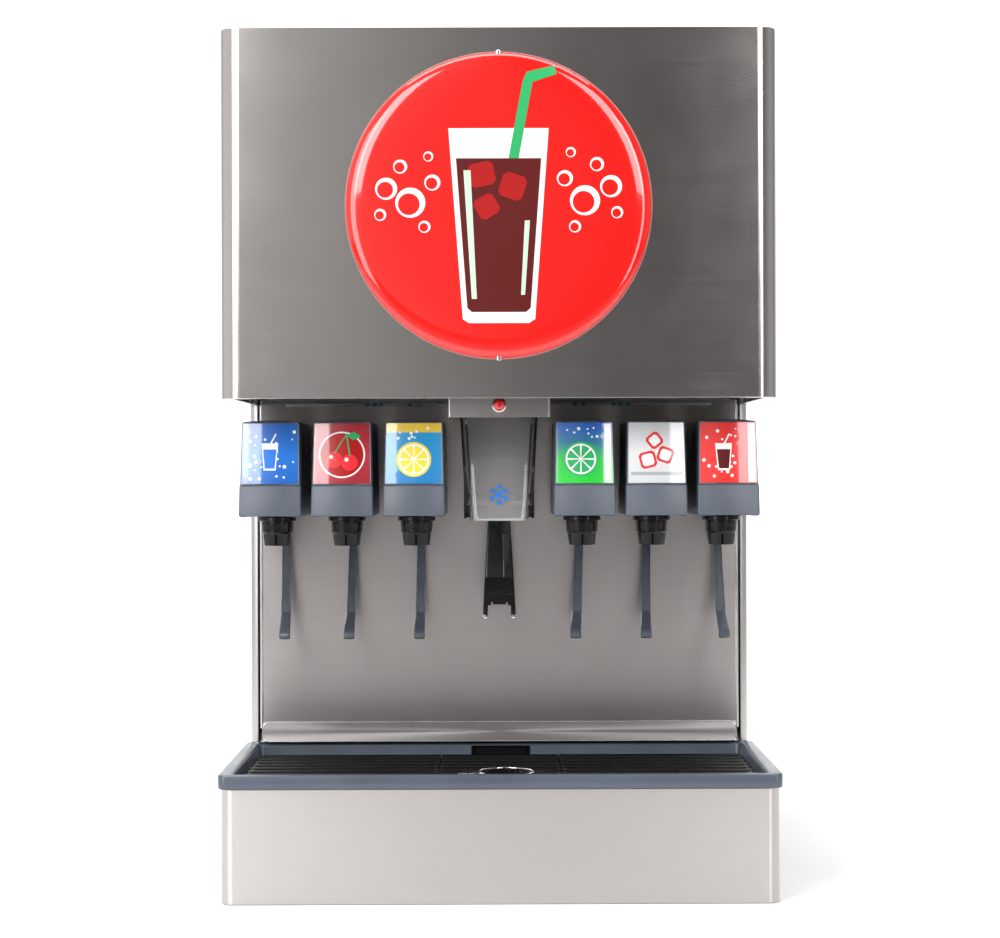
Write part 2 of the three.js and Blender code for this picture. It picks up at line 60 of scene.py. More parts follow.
# ------------------------------------------------------------------ measures read from the frame
def span(node, axis):
    """Lowest and highest coordinate of a CAD node along axis 0, 1 or 2, in millimetres."""
    low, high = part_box(node)
    return low[axis] / MM, high[axis] / MM


def middle(node, axis):
    return sum(span(node, axis)) / 2


VALVES = range(1, 7)
VALVE_X = {n: middle(f"valve_cover_{n}", 0) for n in VALVES}
HOOD_HALF = span("hood_shell", 0)[1]
HOOD_FRONT, HOOD_REAR = span("hood_shell", 1)
HOOD_BOTTOM, HOOD_TOP = span("hood_shell", 2)
TOWER_HALF = span("tower_wrap", 0)[1]
TOWER_FRONT, TOWER_REAR = span("tower_wrap", 1)
TOWER_BOTTOM, TOWER_TOP = span("tower_wrap", 2)
BASE_HALF = span("base_wrap", 0)[1]
BASE_FRONT, BASE_REAR = span("base_wrap", 1)
BASE_TOP = span("base_wrap", 2)[1]
TRAY_HALF = span("drip_tray", 0)[1]
TRAY_FRONT, TRAY_REAR = span("drip_tray", 1)
TRAY_TOP = span("drip_tray", 2)[1]
REST_TOP = span("cup_rest_left", 2)[1]
SHEET = 1.2


# ------------------------------------------------------------------ mesh helpers
def mesh_piece(name, points, faces, sharp=35):
    """A smooth-shaded object from points in millimetres; edges over the sharp angle stay crisp."""
    mesh = bpy.data.meshes.new(name)
    mesh.from_pydata([Vector(p) * MM for p in points], [], faces)
    work = bmesh.new()
    work.from_mesh(mesh)
    bmesh.ops.remove_doubles(work, verts=work.verts, dist=1e-6)
    bmesh.ops.dissolve_degenerate(work, edges=work.edges, dist=1e-6)
    bmesh.ops.recalc_face_normals(work, faces=work.faces)
    work.to_mesh(mesh)
    work.free()
    mesh.shade_smooth()
    mesh.set_sharp_from_angle(angle=math.radians(sharp))
    obj = bpy.data.objects.new(name, mesh)
    bpy.context.scene.collection.objects.link(obj)
    return obj


def joined(name, objects):
    """One object from several, made from their meshes."""
    merged = bmesh.new()
    for obj in objects:
        part = obj.data.copy()
        part.transform(obj.matrix_world)
        merged.from_mesh(part)
        bpy.data.meshes.remove(part)
        bpy.data.objects.remove(obj)
    mesh = bpy.data.meshes.new(name)
    merged.to_mesh(mesh)
    merged.free()
    result = bpy.data.objects.new(name, mesh)
    bpy.context.scene.collection.objects.link(result)
    return result


def loft(name, rings, caps=(True, True), sharp=35, closed=True):
    """A skin through rings with the same number of points."""
    count = len(rings[0])
    points = [p for ring in rings for p in ring]
    faces = []
    steps = count if closed else count - 1
    for r in range(len(rings) - 1):
        for i in range(steps):
            j = (i + 1) % count
            a = r * count
            b = a + count
            faces.append((a + i, a + j, b + j, b + i))
    if caps[0]:
        faces.append(tuple(range(count)))
    if caps[1]:
        faces.append(tuple(len(points) - count + i for i in range(count)))
    return mesh_piece(name, points, faces, sharp)


def lathe(name, profile, segments=48, axis="z", at=(0, 0, 0), sharp=35):
    """A profile of (radius, height) turned about an axis; on "y" the height runs towards the front."""
    rings = []
    for k in range(segments):
        angle = 2 * math.pi * k / segments
        ring = []
        for radius, height in profile:
            a = radius * math.cos(angle)
            b = radius * math.sin(angle)
            if axis == "z":
                p = (a, b, height)
            elif axis == "y":
                p = (a, -height, b)
            else:
                p = (height, a, b)
            ring.append(tuple(p[i] + at[i] for i in range(3)))
        rings.append(ring)
    rings.append(rings[0])
    return loft(name, rings, (False, False), sharp, closed=False)


def arc(cx, cy, radius, start, end, steps=8):
    """Points of an arc in a plane, angles in degrees."""
    found = []
    for i in range(steps + 1):
        angle = math.radians(start + (end - start) * i / steps)
        found.append((cx + radius * math.cos(angle), cy + radius * math.sin(angle)))
    return found


def offset_path(path, inset, closed=False):
    """The path moved to its left-hand side by inset, with mitred corners."""
    found = []
    last = len(path) - 1
    for i, (x, y) in enumerate(path):
        before = path[i - 1] if i or closed else path[i]
        after = path[(i + 1) % len(path)] if i < last or closed else path[i]
        into = Vector((x - before[0], y - before[1]))
        out = Vector((after[0] - x, after[1] - y))
        if into.length < 1e-9:
            into = out
        if out.length < 1e-9:
            out = into
        n1 = Vector((-into.y, into.x)).normalized()
        n2 = Vector((-out.y, out.x)).normalized()
        normal = (n1 + n2).normalized()
        scale = inset / max(0.3, normal.dot(n1))
        found.append((x + normal.x * scale, y + normal.y * scale))
    return found


def sweep(name, path, profile, closed=False, sharp=35):
    """A closed profile of (inset, z) carried along a plan path; inset is to the path's left."""
    rails = [[(x, y, z) for x, y in offset_path(path, inset, closed)] for inset, z in profile]
    rings = [[rail[i] for rail in rails] for i in range(len(path))]
    if closed:
        rings.append(rings[0])
    return loft(name, rings, (not closed, not closed), sharp)


def sheet_profile(z0, z1, thickness=SHEET, edge=0.45):
    """The section of a standing sheet with softened edges."""
    return [
        (edge, z0),
        (0, z0 + edge),
        (0, z1 - edge),
        (edge, z1),
        (thickness - edge, z1),
        (thickness, z1 - edge),
        (thickness, z0 + edge),
        (thickness - edge, z0),
    ]


def wrap_path(half, front, rear, radius, steps=14):
    """Plan path down the left side, round the front and back up the right side; left of it is inside."""
    left = arc(-half + radius, front + radius, radius, 180, 270, steps)
    right = arc(half - radius, front + radius, radius, 270, 360, steps)
    return [(-half, rear), *left, *right, (half, rear)]


def rounded_rect(x0, x1, y0, y1, radius, steps=6):
    """Closed plan outline, counter-clockwise."""
    radius = min(radius, (x1 - x0) / 2 - 0.01, (y1 - y0) / 2 - 0.01)
    return [
        *arc(x0 + radius, y0 + radius, radius, 180, 270, steps),
        *arc(x1 - radius, y0 + radius, radius, 270, 360, steps),
        *arc(x1 - radius, y1 - radius, radius, 0, 90, steps),
        *arc(x0 + radius, y1 - radius, radius, 90, 180, steps),
    ]


def at_height(outline, z):
    return [(x, y, z) for x, y in outline]


def slab(name, outline, z0, z1, edge=0.6, sharp=35):
    """A plate of any plan outline with softened top and bottom edges."""
    inner = offset_path(outline, edge, closed=True)
    rings = [at_height(inner, z0), at_height(outline, z0 + edge), at_height(outline, z1 - edge), at_height(inner, z1)]
    return loft(name, rings, sharp=sharp)


def block(name, low, high, edge=0.6):
    """A box with every edge softened."""
    (x0, y0, z0), (x1, y1, z1) = low, high
    return slab(name, rounded_rect(x0, x1, y0, y1, 2 * edge, 3), z0, z1, edge)


def tube(name, points, radius, sides=12, closed=False):
    """A round bar along points, with its ends closed."""
    line = [Vector(p) for p in points]
    rings = []
    normal = None
    for i, p in enumerate(line):
        before = line[i - 1] if i or closed else p
        after = line[(i + 1) % len(line)] if i < len(line) - 1 or closed else p
        along = (after - before).normalized()
        if normal is None:
            side = UP if abs(along.z) < 0.9 else Vector((1, 0, 0))
            normal = along.cross(side).normalized()
        normal = (normal - along * normal.dot(along)).normalized()
        across = along.cross(normal)
        ring = []
        for k in range(sides):
            angle = 2 * math.pi * k / sides
            ring.append(tuple(p + (normal * math.cos(angle) + across * math.sin(angle)) * radius))
        rings.append(ring)
    if closed:
        rings.append(rings[0])
    return loft(name, rings, (not closed, not closed), 40)


def carve(obj, *cutters):
    """Cuts the cutters out of obj and removes them."""
    for cutter in cutters:
        change = obj.modifiers.new("cut", "BOOLEAN")
        change.operation = "DIFFERENCE"
        change.solver = "EXACT"
        change.object = cutter
    bpy.context.view_layer.update()
    done = bpy.data.meshes.new_from_object(obj.evaluated_get(bpy.context.evaluated_depsgraph_get()))
    obj.modifiers.clear()
    obj.data = done
    obj.data.shade_smooth()
    obj.data.set_sharp_from_angle(angle=math.radians(30))
    for cutter in cutters:
        bpy.data.objects.remove(cutter)
    return obj


def soften(obj, width=0.5, segments=2, angle=30):
    """Rounds the sharp edges of a flat-faced piece with a modifier."""
    weld = obj.modifiers.new("weld", "WELD")
    weld.merge_threshold = 1e-6
    bevel = obj.modifiers.new("edges", "BEVEL")
    bevel.width = width * MM
    bevel.segments = segments
    bevel.limit_method = "ANGLE"
    bevel.angle_limit = math.radians(angle)
    bevel.harden_normals = False
    return obj


def place(obj, body, material, slot, *nodes):
    """Gives a piece its material, hides the CAD nodes it stands for and lets it ride on a body; its slot argument is
    not used.
    """
    obj.data.materials.clear()
    obj.data.materials.append(material)
    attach(obj, body)
    if nodes:
        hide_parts(*nodes)
    return obj


# ------------------------------------------------------------------ materials
class Nodes:
    """A new node material and short ways to add to it."""

    def __init__(self, name):
        self.material = bpy.data.materials.new(name)
        self.material.use_nodes = True
        self.tree = self.material.node_tree
        self.shader = self.tree.nodes["Principled BSDF"]
        self.coordinate = self.tree.nodes.new("ShaderNodeTexCoord").outputs["Object"]

    def link(self, a, b):
        self.tree.links.new(a, b)

    def noise(self, scale, detail=3.0, stretch=(1, 1, 1), roughness=0.55):
        mapping = self.tree.nodes.new("ShaderNodeMapping")
        mapping.inputs["Scale"].default_value = stretch
        self.link(self.coordinate, mapping.inputs["Vector"])
        noise = self.tree.nodes.new("ShaderNodeTexNoise")
        noise.inputs["Scale"].default_value = scale
        noise.inputs["Detail"].default_value = detail
        noise.inputs["Roughness"].default_value = roughness
        self.link(mapping.outputs["Vector"], noise.inputs["Vector"])
        return noise.outputs["Fac"]

    def ramp(self, fac, stops):
        node = self.tree.nodes.new("ShaderNodeValToRGB")
        elements = node.color_ramp.elements
        while len(elements) < len(stops):
            elements.new(0.5)
        for element, (position, color) in zip(elements, stops):
            element.position = position
            element.color = (*color, 1)
        self.link(fac, node.inputs["Fac"])
        return node.outputs["Color"]

    def span(self, fac, low, high):
        node = self.tree.nodes.new("ShaderNodeMapRange")
        node.inputs["From Min"].default_value = 0.3
        node.inputs["From Max"].default_value = 0.7
        node.inputs["To Min"].default_value = low
        node.inputs["To Max"].default_value = high
        self.link(fac, node.inputs["Value"])
        return node.outputs["Result"]

    def mix(self, fac, a, b):
        node = self.tree.nodes.new("ShaderNodeMix")
        node.data_type = "RGBA"
        if isinstance(fac, float):
            node.inputs["Factor"].default_value = fac
        else:
            self.link(fac, node.inputs["Factor"])
        for socket, value in (("A", a), ("B", b)):
            target = [s for s in node.inputs if s.name == socket and s.type == "RGBA"][0]
            if isinstance(value, tuple):
                target.default_value = (*value, 1)
            else:
                self.link(value, target)
        return [s for s in node.outputs if s.type == "RGBA"][0]

    def bump(self, height, strength, distance, under=None):
        node = self.tree.nodes.new("ShaderNodeBump")
        node.inputs["Strength"].default_value = strength
        node.inputs["Distance"].default_value = distance
        self.link(height, node.inputs["Height"])
        if under is not None:
            self.link(under, node.inputs["Normal"])
        return node.outputs["Normal"]


def shade(color, factor):
    return tuple(min(1, c * factor) for c in color)


def brushed(name, color, roughness=0.3, along="x", strength=0.006):
    """Stainless sheet with a fine grain along one axis, faint cloudiness and finger marks."""
    n = Nodes(name)
    stretch = {"x": (7, 900, 1500), "z": (1500, 1500, 7), "y": (1500, 7, 1500)}[along]
    grain = n.noise(1.0, 4.0, stretch, 0.7)
    clouds = n.noise(7.0, 2.0)
    marks = n.noise(16.0, 4.0)
    tone = n.ramp(grain, [(0.3, shade(color, 0.965)), (0.7, shade(color, 1.025))])
    tone = n.mix(n.span(clouds, 0.0, 0.3), tone, shade(color, 0.94))
    n.link(tone, n.shader.inputs["Base Color"])
    gloss = n.span(grain, roughness - 0.02, roughness + 0.03)
    patchy = n.tree.nodes.new("ShaderNodeMath")
    patchy.operation = "ADD"
    n.link(gloss, patchy.inputs[0])
    n.link(n.span(marks, -0.015, 0.02), patchy.inputs[1])
    n.link(patchy.outputs["Value"], n.shader.inputs["Roughness"])
    if strength:
        n.link(n.bump(grain, strength, 0.0004), n.shader.inputs["Normal"])
    n.shader.inputs["Metallic"].default_value = 1.0
    n.shader.inputs["Anisotropic"].default_value = 0.72
    n.shader.inputs["Anisotropic Rotation"].default_value = 0.0 if along == "z" else 0.25
    return n.material


def moulded(name, color, roughness=0.4, grain=900.0, strength=0.12, coat=0.0, variation=0.08, specular=0.5):
    """Moulded plastic: a fine spark-eroded grain, soft colour drift and uneven gloss."""
    n = Nodes(name)
    fine = n.noise(grain, 2.0)
    drift = n.noise(14.0, 3.0)
    stops = [(0.3, shade(color, 1 - variation)), (0.7, shade(color, 1 + variation))]
    n.link(n.ramp(drift, stops), n.shader.inputs["Base Color"])
    n.link(n.span(drift, roughness - 0.05, roughness + 0.06), n.shader.inputs["Roughness"])
    n.link(n.bump(fine, strength, 0.0002), n.shader.inputs["Normal"])
    n.shader.inputs["Specular IOR Level"].default_value = specular
    n.shader.inputs["Coat Weight"].default_value = coat
    n.shader.inputs["Coat Roughness"].default_value = 0.05
    return n.material


def lacquer(name, color, roughness=0.12):
    """Glossy printed or painted surface with a slight orange peel."""
    n = Nodes(name)
    peel = n.noise(160.0, 1.0)
    drift = n.noise(10.0, 2.0)
    n.link(n.ramp(drift, [(0.3, shade(color, 0.97)), (0.7, shade(color, 1.03))]), n.shader.inputs["Base Color"])
    n.link(n.span(drift, roughness - 0.02, roughness + 0.03), n.shader.inputs["Roughness"])
    n.link(n.bump(peel, 0.03, 0.0003), n.shader.inputs["Normal"])
    n.shader.inputs["Coat Weight"].default_value = 1.0
    n.shader.inputs["Coat Roughness"].default_value = 0.04
    return n.material


def clear(name, color, opacity, roughness=0.08):
    """Clear moulded plastic, seen through by its opacity, with faint flow marks."""
    n = Nodes(name)
    flow = n.noise(22.0, 2.0, (1, 1, 0.3))
    n.link(n.ramp(flow, [(0.3, shade(color, 0.9)), (0.7, color)]), n.shader.inputs["Base Color"])
    n.link(n.span(flow, roughness - 0.02, roughness + 0.04), n.shader.inputs["Roughness"])
    n.link(n.span(flow, opacity * 0.9, opacity * 1.1), n.shader.inputs["Alpha"])
    n.link(n.bump(flow, 0.04, 0.0006), n.shader.inputs["Normal"])
    n.shader.inputs["Coat Weight"].default_value = 1.0
    n.shader.inputs["Coat IOR"].default_value = 1.8
    n.shader.inputs["Coat Roughness"].default_value = 0.04
    return n.material


def printed(name, stops, low, high, roughness=0.16):
    """A printed card behind gloss film: colours run up the label from height low to high, in metres."""
    n = Nodes(name)
    height = n.tree.nodes.new("ShaderNodeSeparateXYZ")
    n.link(n.coordinate, height.inputs["Vector"])
    place_up = n.tree.nodes.new("ShaderNodeMapRange")
    place_up.inputs["From Min"].default_value = low
    place_up.inputs["From Max"].default_value = high
    n.link(height.outputs["Z"], place_up.inputs["Value"])
    flecks = n.noise(2600.0, 1.0)
    base = n.ramp(place_up.outputs["Result"], stops)
    n.link(n.mix(n.span(flecks, 0.0, 0.05), base, (1, 1, 1)), n.shader.inputs["Base Color"])
    n.link(n.span(n.noise(30.0), roughness - 0.03, roughness + 0.04), n.shader.inputs["Roughness"])
    n.shader.inputs["Coat Weight"].default_value = 1.0
    n.shader.inputs["Coat Roughness"].default_value = 0.05
    n.shader.inputs["Coat IOR"].default_value = 1.62
    return n.material


STEEL_HOOD = brushed("steel_hood", (0.62, 0.58, 0.56), 0.19)
STEEL_BASE = brushed("steel_base", (0.62, 0.59, 0.57), 0.36)
STEEL_SPLASH = brushed("steel_splash", (0.6, 0.56, 0.545), 0.3, "x", 0.0)
# Partly painted highlight: a lighter copy of the splash steel for the bright lines on the rounded bends and the lip
# bead.
STEEL_EDGE_HIGHLIGHT = brushed("steel_edge_painted_highlight", (0.7, 0.68, 0.66), 0.28, "z", 0.0)
# Painted shade: a darker copy of the splash steel, laid over the lip.
STEEL_LIP_SHADE = brushed("steel_lip_painted_shade", (0.36, 0.34, 0.335), 0.42, "x", 0.0)
STEEL_TOWER = brushed("steel_tower", (0.62, 0.6, 0.58), 0.32, "z")
STEEL_SHAFT = brushed("steel_shaft", (0.66, 0.66, 0.67), 0.25, "y")
CHROME = brushed("bright_wire", (0.8, 0.8, 0.81), 0.12, "x", 0.004)
ALUMINIUM = brushed("cast_aluminium", (0.7, 0.71, 0.73), 0.45, "x", 0.1)
COVER = moulded("cover_plastic", (0.098, 0.112, 0.143), 0.38)
BEAD = moulded("window_bead", (0.22, 0.24, 0.28), 0.3)
BLACK = moulded("black_plastic", (0.018, 0.018, 0.02), 0.34, coat=0.1)
GLOSS_BLACK = moulded("gloss_black_plastic", (0.012, 0.012, 0.013), 0.14, 300.0, 0.02, 0.6)
LEVER = moulded("lever_plastic", (0.066, 0.074, 0.098), 0.26, 700.0, 0.04, 0.5)
TRAY = moulded("tray_plastic", (0.07, 0.086, 0.118), 0.36, 700.0, 0.12, 0.4)
REST = moulded("rest_plastic", (0.005, 0.005, 0.006), 0.3, specular=0.22)
NOZZLE = moulded("nozzle_plastic", (0.008, 0.008, 0.009), 0.24, 500.0, 0.04, specular=0.32)
WHITE = moulded("white_plastic", (0.76, 0.76, 0.74), 0.45)
MOTOR = moulded("motor_paint", (0.03, 0.033, 0.038), 0.4, 500.0, 0.25)
RED = lacquer("emblem_red", (0.84, 0.011, 0.008), 0.1)
RIM = lacquer("emblem_rim", (0.5, 0.16, 0.14), 0.15)
ART_WHITE = lacquer("print_white", (0.92, 0.92, 0.92), 0.2)
ART_DRINK = lacquer("print_drink", (0.11, 0.006, 0.006), 0.2)
ART_DEEP = lacquer("print_deep_red", (0.42, 0.008, 0.008), 0.2)
ART_GREEN = lacquer("print_green", (0.03, 0.42, 0.13), 0.2)
ART_MINT = lacquer("print_mint", (0.62, 0.86, 0.62), 0.2)
ART_YELLOW = lacquer("print_yellow", (0.93, 0.72, 0.06), 0.2)
ART_BLUE = lacquer("print_blue", (0.02, 0.2, 0.72), 0.2)
ART_SKY = lacquer("print_sky", (0.0, 0.27, 1.0), 0.25)
ART_TEAL = lacquer("print_teal", (0.0, 0.17, 0.32), 0.3)
ART_RED = lacquer("print_red", (0.8, 0.03, 0.04), 0.2)
ART_GREY = lacquer("print_grey", (0.42, 0.43, 0.45), 0.2)
ACRYLIC = clear("clear_chute", (0.62, 0.6, 0.6), 0.24)
# Dark clear plastic: the side rails, and a painted shade strip up each chute corner.
ACRYLIC_DARK = clear("clear_chute_shade", (0.02, 0.02, 0.022), 0.75)
# Painted highlight: a lighter, more opaque copy of the clear plastic for the streaks and edge lines that light makes in
# it.
ACRYLIC_HIGHLIGHT = clear("clear_chute_painted_highlight", (0.72, 0.73, 0.75), 0.5)
LENS = clear("lamp_lens", (0.9, 0.02, 0.03), 0.9, 0.1)
LIGHT_STRIP = lacquer("light_strip", (0.4, 0.43, 0.47), 0.3)
BRASS = brushed("brass_terminal", (0.72, 0.55, 0.25), 0.3, "x", 0.02)


# ------------------------------------------------------------------ base and tower sheet metal
base = sweep("base_skirt", wrap_path(BASE_HALF, BASE_FRONT, BASE_REAR, 13), sheet_profile(0, BASE_TOP))
place(base, "chassis", STEEL_BASE, "stainless", "base_wrap")


def tower_path():
    """From the front left return, round the left side, the back and the right side to the other return."""
    corner = 8
    inset = 269.5
    left = arc(-TOWER_HALF + corner, TOWER_FRONT + corner, corner, 270, 180, 14)
    rear_left = arc(-TOWER_HALF + 3, TOWER_REAR - 3, 3, 180, 90, 5)
    rear_right = arc(TOWER_HALF - 3, TOWER_REAR - 3, 3, 90, 0, 5)
    right = arc(TOWER_HALF - corner, TOWER_FRONT + corner, corner, 0, -90, 14)
    turn_left = [(-inset + 1, TOWER_FRONT + 9), (-inset + 1, TOWER_FRONT + 1.5), (-inset, TOWER_FRONT)]
    turn_right = [(-x, y) for x, y in turn_left[::-1]]
    path = [*turn_left, *left, *rear_left, *rear_right, *right, *turn_right]
    return path[::-1]


tower = sweep("tower_sides", tower_path(), sheet_profile(TOWER_BOTTOM, TOWER_TOP))
place(tower, "chassis", STEEL_TOWER, "stainless", "tower_wrap")


# ------------------------------------------------------------------ hood and lid
def hood():
    path = wrap_path(HOOD_HALF, HOOD_FRONT, HOOD_REAR, 21, 20)
    low = HOOD_BOTTOM - 2.6
    walls = sweep("hood_walls", path, sheet_profile(low, HOOD_TOP, SHEET, 0.55))
    roof_outline = offset_path(path, SHEET + 0.05)
    roof = slab("hood_roof", roof_outline, HOOD_TOP - 2.2, HOOD_TOP - 0.25, 0.4)
    short = wrap_path(HOOD_HALF - SHEET, HOOD_FRONT + SHEET, TOWER_FRONT - 4.5, 21 - SHEET, 20)
    hem = sweep("hood_hem", short, sheet_profile(low, low + SHEET, 11.5, 0.5))
    return joined("hood", [walls, roof, hem])


shell = hood()
shell.data.shade_smooth()
shell.data.set_sharp_from_angle(angle=math.radians(35))
place(shell, "hood", STEEL_HOOD, "stainless", "hood_shell")

lid_half = span("bin_lid", 0)[1]
lid_front, lid_rear = span("bin_lid", 1)
lid_low, lid_top = span("bin_lid", 2)


def bin_lid():
    """A shallow black lid with a turned-down skirt, a raised border and a recessed grip."""
    outline = rounded_rect(-lid_half, lid_half, lid_front, lid_rear, 6)
    levels = [(1.6, lid_low), (0, lid_low + 0.6), (0, lid_top - 1.6), (0.6, lid_top - 0.4), (1.6, lid_top)]
    levels += [(14, lid_top), (15.2, lid_top - 1.2), (26, lid_top - 1.2)]
    rings = []
    for inset, z in levels:
        outline_here = rounded_rect(-lid_half + inset, lid_half - inset, lid_front + inset, lid_rear - inset, 6)
        rings.append(at_height(outline_here, z))
    outer = loft("bin_lid_top", rings, (False, True))
    inside = []
    for inset, z in [(1.6, lid_low), (1.6, lid_top - 3.2), (40, lid_top - 3.2)]:
        outline_here = rounded_rect(-lid_half + inset, lid_half - inset, lid_front + inset, lid_rear - inset, 5)
        inside.append(at_height(outline_here, z))
    under = loft("bin_lid_under", inside, (False, True))
    grip = slab("bin_lid_grip", rounded_rect(-58, 58, 122, 158, 8), lid_top - 1.4, lid_top - 0.1, 0.4)
    del outline
    return joined("bin_lid_cover", [outer, under, grip])


lid = bin_lid()
lid.data.shade_smooth()
lid.data.set_sharp_from_angle(angle=math.radians(30))
place(lid, "lid", BLACK, "black_plastic", "bin_lid")

# ------------------------------------------------------------------ domed emblem on the hood
EMBLEM_Z = middle("hood_emblem", 2)
EMBLEM_R = (span("hood_emblem", 0)[1] - span("hood_emblem", 0)[0]) / 2
EMBLEM_BACK = span("hood_emblem", 1)[1]
DOME = 9.6


def dome_out(radius):
    """How far the emblem's face stands out at a distance from its centre."""
    edge = EMBLEM_R - 1.4
    if radius >= edge:
        return 1.2
    t = radius / edge
    return 1.2 + (DOME - 1.2) * (1 - t**14) ** 0.5


def emblem():
    steps = 40
    edge = EMBLEM_R - 1.4
    profile = [(0, 0.2), (edge, 0.2)]
    for i in range(steps + 1):
        radius = edge * math.sin(math.pi / 2 * (1 - (i / steps) ** 1.6))
        profile.append((radius, dome_out(radius)))
    return lathe("emblem_face", profile, 128, "y", (0, EMBLEM_BACK, EMBLEM_Z), 50)


def emblem_rim():
    outer = EMBLEM_R
    section = [
        (outer - 1.6, 0.1), (outer - 0.3, 0.1), (outer, 0.5), (outer - 0.1, 1.4),
        (outer - 0.8, 1.8), (outer - 1.6, 1.5), (outer - 1.6, 0.1),
    ]
    return lathe("emblem_rim", section, 160, "y", (0, EMBLEM_BACK, EMBLEM_Z), 60)


face = place(emblem(), "hood", RED, "red_gloss", "hood_emblem")
place(emblem_rim(), "hood", RIM, "red_gloss")


def flat_patch(name, outline, surface, thickness=0.25, rows=10):
    """A thin printed shape: an outline in (x, z) laid on a surface; surface(x, z) gives its y."""
    work = bmesh.new()
    corners = [work.verts.new((x, 0, z)) for x, z in outline]
    work.faces.new(corners)
    bmesh.ops.triangulate(work, faces=work.faces)
    low = min(z for _, z in outline)
    high = max(z for _, z in outline)
    for axis, start, end in (((0, 0, 1), low, high),):
        for k in range(1, rows):
            level = start + (end - start) * k / rows
            everything = work.verts[:] + work.edges[:] + work.faces[:]
            bmesh.ops.bisect_plane(work, geom=everything, plane_co=(0, 0, level), plane_no=axis)
    left = min(x for x, _ in outline)
    right = max(x for x, _ in outline)
    for k in range(1, rows):
        level = left + (right - left) * k / rows
        everything = work.verts[:] + work.edges[:] + work.faces[:]
        bmesh.ops.bisect_plane(work, geom=everything, plane_co=(level, 0, 0), plane_no=(1, 0, 0))
    for v in work.verts:
        v.co.y = surface(v.co.x, v.co.z) + 0.15
    grown = bmesh.ops.extrude_face_region(work, geom=work.faces[:])
    for v in [g for g in grown["geom"] if isinstance(g, bmesh.types.BMVert)]:
        v.co.y -= thickness + 0.15
    bmesh.ops.recalc_face_normals(work, faces=work.faces)
    bmesh.ops.scale(work, vec=(MM, MM, MM), verts=work.verts)
    mesh = bpy.data.meshes.new(name)
    work.to_mesh(mesh)
    work.free()
    mesh.shade_smooth()
    mesh.set_sharp_from_angle(angle=math.radians(40))
    obj = bpy.data.objects.new(name, mesh)
    bpy.context.scene.collection.objects.link(obj)
    return obj


def circle(cx, cz, radius, steps=28):
    return [(x, z) for x, z in arc(cx, cz, radius, 0, 360, steps)[:-1]]


def emblem_surface(x, z):
    return EMBLEM_BACK - dome_out(math.hypot(x, z - EMBLEM_Z))


def tumbler(scale, cx, cz, lift=0.0):
    """Outline of a plain straight-sided glass, wider at the top."""
    return [
        (cx - 31 * scale, cz - 100 * scale + lift),
        (cx + 31 * scale, cz - 100 * scale + lift),
        (cx + 44 * scale, cz + 78 * scale),
        (cx - 44 * scale, cz + 78 * scale),
    ]


def quad(cx, cz, width, height, turn):
    """A turned square with clipped corners, such as an ice cube."""
    cut = 0.16
    base = [
        (-0.5 + cut, -0.5), (0.5 - cut, -0.5), (0.5, -0.5 + cut), (0.5, 0.5 - cut),
        (0.5 - cut, 0.5), (-0.5 + cut, 0.5), (-0.5, 0.5 - cut), (-0.5, -0.5 + cut),
    ]
    c = math.cos(math.radians(turn))
    s = math.sin(math.radians(turn))
    return [(cx + x * width * c - z * height * s, cz + x * width * s + z * height * c) for x, z in base]


def emblem_art():
    """A plain glass of a dark drink with ice, a straw and bubbles to both sides."""
    cz = EMBLEM_Z - 6
    glass = [(-50, cz + 82), (-36, cz - 108), (-30, cz - 112), (30, cz - 112), (36, cz - 108), (50, cz + 82)]
    drink = [(-42.5, cz + 52), (-31.5, cz - 97), (-27, cz - 101), (27, cz - 101), (31.5, cz - 97), (42.5, cz + 52)]
    layers = [("glass", [glass], ART_WHITE, 0.25), ("drink", [drink], ART_DRINK, 0.5)]
    straw = [(10, cz + 52), (20, cz + 52), (34, cz + 128), (24, cz + 128)]
    tip = [(24, cz + 128), (34, cz + 128), (58, cz + 136), (56, cz + 145), (28, cz + 138)]
    layers.append(("straw", [straw, tip], ART_GREEN, 0.5))
    cubes = [quad(-17, cz + 36, 26, 24, 12), quad(14, cz + 24, 25, 25, -18), quad(-12, cz + 4, 22, 22, 30)]
    layers.append(("ice", cubes, ART_DEEP, 0.75))
    shine = [(-35, cz + 40), (-27, cz - 88), (-22, cz - 88), (-28, cz + 40)]
    mark = [(26, cz - 10), (31, cz - 10), (26, cz - 84), (22, cz - 84)]
    layers.append(("shine", [shine, mark], ART_MINT, 0.95))
    bubbles = []
    spots = [
        (-112, 8, 11), (-88, -6, 15), (-66, 14, 8), (-98, 30, 7), (-74, -30, 6), (-118, -18, 6), (-70, 40, 5),
        (112, 10, 11), (86, -4, 15), (66, 18, 8), (98, 32, 7), (76, -30, 6), (118, -16, 6), (72, 44, 5),
    ]
    for x, up, radius in spots:
        bubbles.append(circle(x, EMBLEM_Z + 8 + up, radius))
    layers.append(("bubbles", bubbles, ART_WHITE, 0.25))
    inner = [circle(x - radius * 0.1, EMBLEM_Z + 8 + up - radius * 0.1, radius * 0.72) for x, up, radius in spots]
    layers.append(("bubble_centres", inner, RED, 0.5))
    for name, outlines, material, height in layers:
        parts = [flat_patch(f"emblem_{name}_{i}", o, emblem_surface, height) for i, o in enumerate(outlines)]
        place(joined(f"emblem_{name}", parts), "hood", material, "red_gloss")


emblem_art()
for sign, label in ((1, "top"), (-1, "bottom")):
    z = EMBLEM_Z + sign * (EMBLEM_R - 1.5)
    clip = block(f"emblem_clip_{label}", (-2.6, EMBLEM_BACK - 5.0, z - 2.6), (2.6, EMBLEM_BACK - 0.4, z + 2.6), 0.8)
    place(clip, "hood", CHROME, "stainless")


# ------------------------------------------------------------------ splash panels and what hangs under the hood
for name in ("splash_upper", "splash_lower"):
    node = frame["nodes"][name]
    soften(node, 0.45, 3)
    node.data.materials.clear()
    node.data.materials.append(STEEL_SPLASH)

